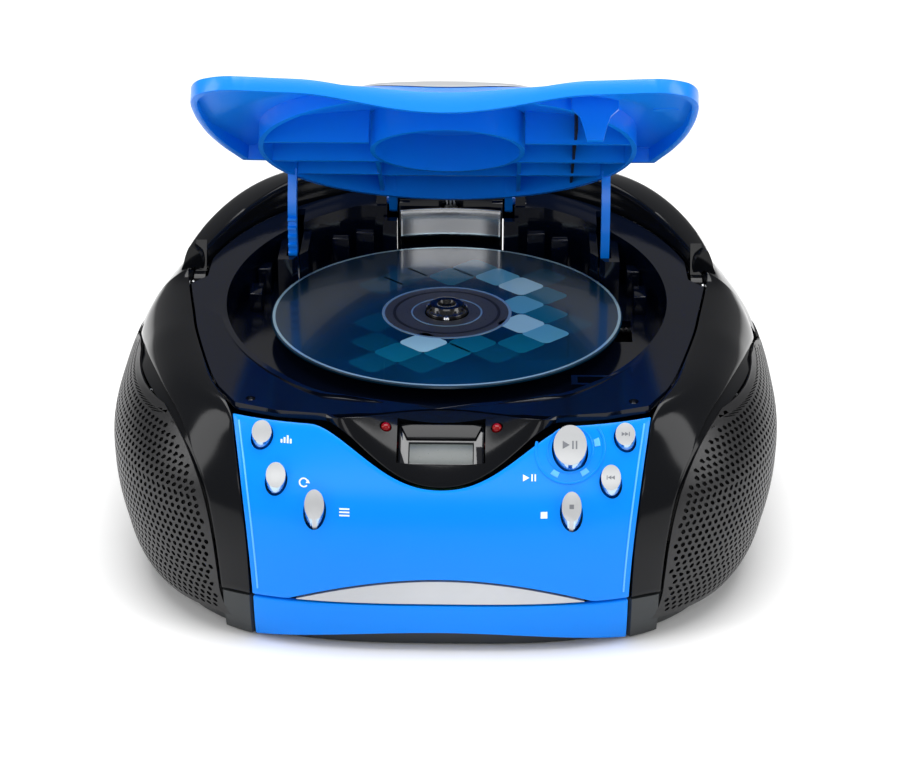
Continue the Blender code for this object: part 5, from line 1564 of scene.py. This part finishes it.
def build_lid():
    lid = sheet("lid", lid_grid(0.0, 0.0, 49), lid_grid(LID_T, LID_T, 49), LID_BLUE)
    soften(lid, 0.9, 3, 50.0)
    join(lid, *shut_pieces(), solver="MANIFOLD")
    notches = []
    for side in (-1, 1):
        notches.append(side_block("notch", side, (18.2, 28.6), (62.4, 80), (70, 110), LID_BLUE))
    cut(lid, *notches, solver="MANIFOLD")
    fittings = [lug(-1), lug(1), lid_arm(-ARM_X, True), lid_arm(ARM_X, False), catch_hook()]
    fittings += [rod("pin", (side * LUG_X, HINGE_Y, HINGE_Z), (side * 26.8, HINGE_Y, HINGE_Z),
                     PIN_R, LID_BLUE, 28) for side in (-1, 1)]
    join(lid, *fittings, solver="MANIFOLD")
    open_lid(lid)
    place(crisp(lid), "lid_shell", "gloss_blue", "lid", mat=LID_BLUE)
    strip = ribbon("strip", [(43.0, lerp(-22.0, 54.0, k / 12)) for k in range(13)], 0.9,
                   offset_height(ring_low, 1.6), skin_middle)
    open_lid(strip)
    place(strip, "lid_catch_strip", "black_plastic", body="lid", mat=MATT_BLACK)
    outline = [(71.0 + 4.2 * math.cos(a), -44.0 + 1.9 * math.sin(a))
               for a in (2 * math.pi * k / 40 for k in range(40))]
    oval = open_lid(prism("mark", outline, offset_height(lid_top, -LID_T - 0.12), skin_middle,
                          LID_BLUE))
    place(oval, "lid_wing_mark", "gloss_blue", body="lid")


def build_badge():
    radius = 36.0
    center_y = -14.0
    count = 96
    shares = [1.0, 0.985, 0.95, 0.85, 0.7, 0.5, 0.25]
    top = []
    low = []
    for k, share in enumerate(shares):
        ring = circle(radius * share, count, (0.0, center_y))
        rise = 0.5 + 0.6 * smooth((1 - share) / 0.05) + 1.2 * (1 - share ** 2)
        top.append([(x, y, lid_top(x, y) + rise) for x, y in ring])
        low.append([(x, y, lid_top(x, y) + 0.3) for x, y in ring])
    verts = [p for ring in top + low for p in ring]
    layers = len(shares)
    verts.append((0.0, center_y, lid_top(0, center_y) + 2.3))
    verts.append((0.0, center_y, lid_top(0, center_y) + 0.3))
    faces = []
    for i in range(count):
        j = (i + 1) % count
        for k in range(layers - 1):
            a, b = k * count, (k + 1) * count
            faces.append((a + i, a + j, b + j, b + i))
            c, d = (layers + k) * count, (layers + k + 1) * count
            faces.append((d + i, d + j, c + j, c + i))
        last = (layers - 1) * count
        faces.append((last + i, last + j, len(verts) - 2))
        faces.append((last + j + layers * count, last + i + layers * count, len(verts) - 1))
        faces.append((i, layers * count + i, layers * count + j, j))
    badge = open_lid(add_object("badge", verts, faces, SILVER))
    place(badge, "lid_badge_dome", "silver_plastic", "lid_badge")


# ==== disc ====================================================================================

TILE = 12.4
TILE_INK = {"d": INK_DEEP, "t": INK_TEAL, "s": INK_SKY, "p": INK_PALE}
# column, row, shade: squares of a lattice turned by 45 degrees on the disc's print
TILES = ((-3, -1, "t"), (-2, -1, "p"), (-2, -2, "t"), (-1, -2, "t"), (-1, -3, "d"), (0, -3, "t"),
         (0, -2, "p"), (1, -2, "p"), (1, -3, "s"), (-3, 0, "d"), (-2, 1, "d"), (2, -2, "t"),
         (2, -1, "s"), (3, -1, "t"), (3, 0, "p"), (3, 1, "s"), (2, 2, "t"), (1, 2, "s"),
         (0, 2, "t"), (0, 3, "d"), (1, 3, "d"), (2, 3, "d"), (3, 2, "t"), (4, 0, "d"),
         (-1, 2, "d"), (-4, -1, "d"), (-3, -2, "d"), (2, -3, "d"))


def rounded_square(size, radius, count=8):
    pts = []
    for k, (sx, sy) in enumerate(((1, 1), (-1, 1), (-1, -1), (1, -1))):
        for i in range(count + 1):
            a = math.radians(90 * k + 90 * i / count)
            pts.append((sx * (size / 2 - radius) + radius * math.cos(a),
                        sy * (size / 2 - radius) + radius * math.sin(a)))
    return pts


def build_disc():
    top = DISC_Z + 0.6
    profile = ((7.5, -0.6), (DISC_R - 0.3, -0.6), (DISC_R, -0.3), (DISC_R, 0.3),
               (DISC_R - 0.3, 0.6), (7.5, 0.6))
    disc = turned("disc", profile, 160, (0, 0, DISC_Z), (0, 0, 1), INK_NAVY)
    place(disc, "disc_print_base", "disc_print", "disc")
    tiles = []
    turn = math.radians(45.0)
    for col, row, shade in TILES:
        u, v = col * TILE * 0.93, row * TILE * 0.93
        cx = u * math.cos(turn) - v * math.sin(turn) + 1.0
        cy = u * math.sin(turn) + v * math.cos(turn) - 1.0
        reach = math.hypot(cx, cy)
        if reach < 25.0 or reach > 50.0:
            continue
        outline = []
        for x, y in rounded_square(TILE, 2.4):
            px = cx + x * math.cos(turn) - y * math.sin(turn)
            py = cy + x * math.sin(turn) + y * math.cos(turn)
            outline.append((px, py))
        lift = {"d": 0.01, "t": 0.02, "s": 0.03, "p": 0.04}[shade]
        tiles.append(prism("tile", outline, top - 0.05, top + lift, TILE_INK[shade]))
    place(merged(tiles, "tiles"), "disc_print_tiles", "disc_print", body="turntable")
    rings = []
    for inner, outer, rise, mat in ((58.6, 59.5, 0.03, RIM), (21.2, 22.2, 0.06, RIM),
                                    (18.4, 21.2, 0.04, HUB_CLEAR), (17.4, 18.4, 0.10, MATT_BLACK),
                                    (7.6, 17.4, 0.06, HUB_CLEAR), (11.6, 12.2, 0.12, RIM)):
        loop = ((inner, -0.05), (outer, -0.05), (outer, rise), (inner, rise))
        rings.append(turned("ring", loop, 144, (0, 0, top), (0, 0, 1), mat))
    place(merged(rings, "rings"), "disc_hub_rings", "disc_print", body="turntable")


def build_hub():
    profile = ((0, -11.5), (1.0, -11.5), (1.0, -5.0), (14.5, -5.0), (14.5, -0.9), (8.6, -0.9),
               (7.2, -0.9), (7.2, 1.7), (6.9, 2.1), (6.2, 2.6), (5.6, 4.0), (5.2, 4.2),
               (3.4, 4.2), (3.1, 4.0), (2.6, 2.6), (0, 2.6))
    hub = turned("hub", profile, 72, (0, 0, DISC_Z), (0, 0, 1), HUB_BLACK)
    pieces = [hub]
    for k in range(3):
        a = math.radians(30 + 120 * k)
        ball = turned("ball", ((0, -1.1), (0.9, -0.7), (1.2, 0), (0.9, 0.7), (0, 1.1)), 20,
                      (6.9 * math.cos(a), 6.9 * math.sin(a), DISC_Z + 1.2), (0, 0, 1), STEEL)
        pieces.append(ball)
    for k in range(12):
        a = math.radians(30 * k)
        rib = block("rib", (3.6, -0.28, 2.2), (6.5, 0.28, 3.2), HUB_BLACK)
        move_to(rib, Matrix.Translation((0, 0, DISC_Z)) @ Matrix.Rotation(a, 4, "Z"))
        pieces.append(rib)
    place(merged(pieces, "hub"), "turntable_hub_shape", "black_plastic", "turntable_hub")


# ==== lower and rear cabinet ==================================================================

def corner_angles(height):
    """Plan angles, from the left round the front, of the points where the wall steps."""
    near, far = (abs(front_angle(x, height)) for x in CORNER_X)
    return [math.pi, math.pi + far, math.pi + near, 1.5 * math.pi, 2 * math.pi - near,
            2 * math.pi - far, 2 * math.pi]


def level_angle(angle, height):
    """The plan angle at a height that keeps the x of a wall step at the seam."""
    if angle < math.pi:
        return angle
    return float(np.interp(angle, corner_angles(SEAM_H), corner_angles(height)))


def build_bottom_case():
    angles = wall_angles()
    heights = (GROUND_GAP, 3.0, 6.0, 9.0, 11.5, 14.5, SEAM_H - GAP)
    outer = [[body_point(level_angle(a, h), h, bottom_inset(a)) for a in angles]
             for h in heights]
    inner = [[body_point(level_angle(a, h), h, bottom_inset(a) + WALL) for a in angles]
             for h in heights]
    case = sheet("case", outer, inner, GREY, wrap=True)
    outline = [body_point(a, 4.4, bottom_inset(a) + 1.5)[:2] for a in angles]
    join(case, prism("floor", outline, FLOOR_Z, FLOOR_Z + FLOOR_T, GREY))
    cut(case, block("bay", (-54.0 + 2, -29.0 + 1, 0), (54.0 - 2, 57.0 - 2, 10), GREY))
    place(crisp(case), "bottom_case_shell", "dark_grey", "bottom_case")


def build_rear_case():
    case = sheet("case", rear_case_grid(0.0), rear_case_grid(WALL), BLACK)
    yokes = []
    pockets = []
    for side in (-1, 1):
        yokes.append(side_block("yoke", side, (81.2, 96.0), (13.4, 20.6), (71.4, 73.2), BLACK))
        yokes.append(side_block("yoke", side, (81.2, 90.8), (13.4, 20.6), (72.5, 80.7), BLACK))
        pockets.append(side_block("pocket", side, (83.6, 88.6), (10.0, 23.0), (73.2, 100.0),
                                  BLACK))
        pockets.append(rod("bore", (side * 80, HANDLE_Y, HANDLE_Z),
                           (side * 92, HANDLE_Y, HANDLE_Z), 1.9, BLACK, 24))
    join(case, *yokes, solver="MANIFOLD")
    x, y, z = DIAL
    cuts = pockets + [
        block("slot", (x - 11.2, 85, z - 3.6), (x + 11.2, 110, z + 3.6), BLACK),
        block("slot", (SWITCH_X - 9, 88, SWITCH_Z - 2.4), (SWITCH_X + 9, 110, SWITCH_Z + 2.4),
              BLACK),
        block("slot", (INLET[0] - 9, 80, INLET[1] - 6.4), (INLET[0] + 9, 110, INLET[1] + 6.4),
              BLACK)]
    for k in range(7):
        vent_x = -18.0 + 6.0 * k
        cuts.append(block("vent", (vent_x - 1.2, 90, 58), (vent_x + 1.2, 110, 72), BLACK))
    cut(case, *cuts, solver="MANIFOLD")
    place(crisp(case, 30.0), "rear_case_shell", "gloss_black", "rear_case")


SECTION_PULL = 0.35  # how strongly the handle's section rounds at its corners


def closed_spline(ring, count):
    """Points round a closed loop, on a smooth curve through its corners."""
    pts = np.array(ring, float)
    n = len(pts)
    result = []
    for k in range(count):
        place_at = k * n / count
        i = int(place_at)
        u = place_at - i
        p0, p1, p2, p3 = pts[i - 1], pts[i % n], pts[(i + 1) % n], pts[(i + 2) % n]
        slopes = ((p2 - p0) * SECTION_PULL, (p3 - p1) * SECTION_PULL)
        result.append(tuple(hermite(p1, slopes[0], p2, slopes[1], u)))
    return result


def build_handle():
    count = 96
    start = rear_angle(HANDLE_START, 80.5)
    rows = [closed_spline(handle_section(lerp(start, math.pi - start, i / count)), 32)
            for i in range(count + 1)]
    sides = len(rows[0])
    verts = [p for row in rows for p in row]
    faces = [tuple(range(sides)), tuple(range(count * sides + sides - 1, count * sides - 1, -1))]
    for i in range(count):
        for k in range(sides):
            j = (k + 1) % sides
            faces.append((i * sides + k, i * sides + j, (i + 1) * sides + j, (i + 1) * sides + k))
    handle = add_object("handle", verts, faces, BLACK)
    ears = []
    for side in (-1, 1):
        eye = [(HANDLE_Y + 4.4 * math.cos(a), HANDLE_Z + 4.4 * math.sin(a))
               for a in (math.radians(lerp(60.0, 300.0, i / 28)) for i in range(29))]
        outline = eye + [(24.0, 86.6), (24.0, 92.0)]
        ears.append(side_plate("ear", side * 86.1, 3.8, outline, BLACK))
    join(handle, *ears)
    cut(handle, *[rod("bore", (side * 80, HANDLE_Y, HANDLE_Z), (side * 95, HANDLE_Y, HANDLE_Z),
                      1.9, BLACK, 24) for side in (-1, 1)])
    place(crisp(handle), "handle_bar", "gloss_black", "handle")


def build_rear_controls():
    x, y, z = DIAL
    profile = [(1.6, -3.0), (DIAL_R - 0.6, -3.0), (DIAL_R, -2.2), (DIAL_R, 2.2),
               (DIAL_R - 0.6, 3.0), (1.6, 3.0)]
    dial = turned("dial", profile, 96, DIAL, (0, 0, 1), GREY)
    knurls = [dial]
    for k in range(48):
        a = 2 * math.pi * k / 48
        rib = block("rib", (DIAL_R - 0.5, -0.22, -2.3), (DIAL_R - 0.02, 0.22, 2.3), MATT_BLACK)
        move_to(rib, Matrix.Translation(DIAL) @ Matrix.Rotation(a, 4, "Z"))
        knurls.append(rib)
    place(merged(knurls, "dial"), "volume_dial_wheel", "dark_grey", "volume_dial")
    knob = block("knob", (SWITCH_X - 3, 92.2, SWITCH_Z - 1.8),
                 (SWITCH_X + 3, 99.8, SWITCH_Z + 1.8), GREY)
    ribs = [soften(knob, 0.3)]
    for k in (-1, 0, 1):
        ribs.append(block("rib", (SWITCH_X + k * 1.6 - 0.3, 99.4, SWITCH_Z - 1.5),
                          (SWITCH_X + k * 1.6 + 0.3, 100.1, SWITCH_Z + 1.5), MATT_BLACK))
    place(merged(ribs, "knob"), "function_switch_knob", "dark_grey", "function_switch")


# ==== carried-over nodes ======================================================================

KEPT = {"gloss_blue": BLUE, "gloss_black": BLACK, "deck_black": DECK_INK, "dark_grey": GREY,
        "grille_black": MESH_BLACK, "silver_plastic": SILVER, "bright_metal": CHROME,
        "steel": STEEL, "black_plastic": MATT_BLACK, "smoked_window": SMOKED, "lcd_grey": LCD,
        "led_red": RED, "disc_print": INK_NAVY, "rubber": RUBBER, "circuit_board": BOARD,
        "speaker_paper": PAPER, "iron_core": LAMINATE, "cell_wrap": CELL_WRAP,
        "white_plastic": WHITE}


def slot_of_nodes():
    """The record's slot of every node."""
    return {row["node"]: row["material_slot"] for row in frame["record"]["subparts"]}


def paint_kept_nodes():
    slots = slot_of_nodes()
    for name, obj in frame["nodes"].items():
        mat = KEPT[slots[name]]
        for holder in obj.material_slots:
            holder.material = mat


# ==== camera, light, floor ====================================================================

VIEW_TURN = math.radians(1.2)
VIEW_DIP = math.radians(25.0)
CAMERA_AT = (0.0184, -0.8253, 0.4336)


def lamp(name, place_at, target, size, power, color=(1.0, 1.0, 1.0)):
    data = bpy.data.lights.new(name, "AREA")
    data.shape = "RECTANGLE"
    data.size, data.size_y = size
    data.energy = power
    data.color = color
    obj = bpy.data.objects.new(name, data)
    obj.location = place_at
    aim_at = Vector(target) - Vector(place_at)
    obj.rotation_euler = aim_at.to_track_quat("-Z", "Y").to_euler()
    bpy.context.scene.collection.objects.link(obj)
    return obj


def build_studio():
    scene = bpy.context.scene
    data = bpy.data.cameras.new("camera")
    data.lens = 105.04
    data.sensor_width = 36.0
    camera = bpy.data.objects.new("camera", data)
    look = Vector((-math.sin(VIEW_TURN) * math.cos(VIEW_DIP),
                   math.cos(VIEW_TURN) * math.cos(VIEW_DIP), -math.sin(VIEW_DIP)))
    camera.location = CAMERA_AT
    camera.rotation_euler = look.to_track_quat("-Z", "Y").to_euler()
    scene.collection.objects.link(camera)
    scene.camera = camera
    world = bpy.data.worlds.new("studio")
    world.use_nodes = True
    tree = world.node_tree
    back = tree.nodes["Background"]
    back.inputs["Color"].default_value = (1.0, 1.0, 1.0, 1.0)
    back.inputs["Strength"].default_value = 0.30
    white = tree.nodes.new("ShaderNodeBackground")
    white.inputs["Color"].default_value = (1.0, 1.0, 1.0, 1.0)
    rays = tree.nodes.new("ShaderNodeLightPath")
    mix = tree.nodes.new("ShaderNodeMixShader")
    links(tree, (rays.outputs["Is Camera Ray"], mix.inputs["Fac"]),
          (back.outputs["Background"], mix.inputs[1]),
          (white.outputs["Background"], mix.inputs[2]),
          (mix.outputs["Shader"], tree.nodes["World Output"].inputs["Surface"]))
    scene.world = world
    mesh = bpy.data.meshes.new("floor")
    mesh.from_pydata([(-6, -6, 0), (6, -6, 0), (6, 6, 0), (-6, 6, 0)], [], [(0, 1, 2, 3)])
    floor = bpy.data.objects.new("floor", mesh)
    scene.collection.objects.link(floor)
    mesh.materials.append(surface("pale_floor", (0.88, 0.88, 0.88), 0.35, vary=0.01, bump=0.0))
    lamp("key", (0.0, 0.1, 1.5), (0.0, 0.0, 0.05), (1.5, 1.2), 34.0)
    lamp("left", (-1.2, -0.4, 0.7), (0.0, 0.0, 0.05), (0.6, 0.9), 7.0)
    lamp("right", (1.2, -0.4, 0.7), (0.0, 0.0, 0.05), (0.6, 0.9), 7.0)
    lamp("front", (0.0, -1.6, 0.9), (0.0, 0.0, 0.12), (1.4, 0.4), 5.0)
    scene.view_settings.view_transform = "Standard"


# ==== build ===================================================================================

build_studio()
paint_kept_nodes()
build_caps()
build_cap_returns()
build_grilles()
build_front_panel()
build_panel_details()
build_buttons()
build_skirt_and_trim()
build_display()
build_deck_pieces()
build_lid()
build_badge()
build_disc()
build_hub()
build_bottom_case()
build_rear_case()
build_rear_controls()
build_handle()
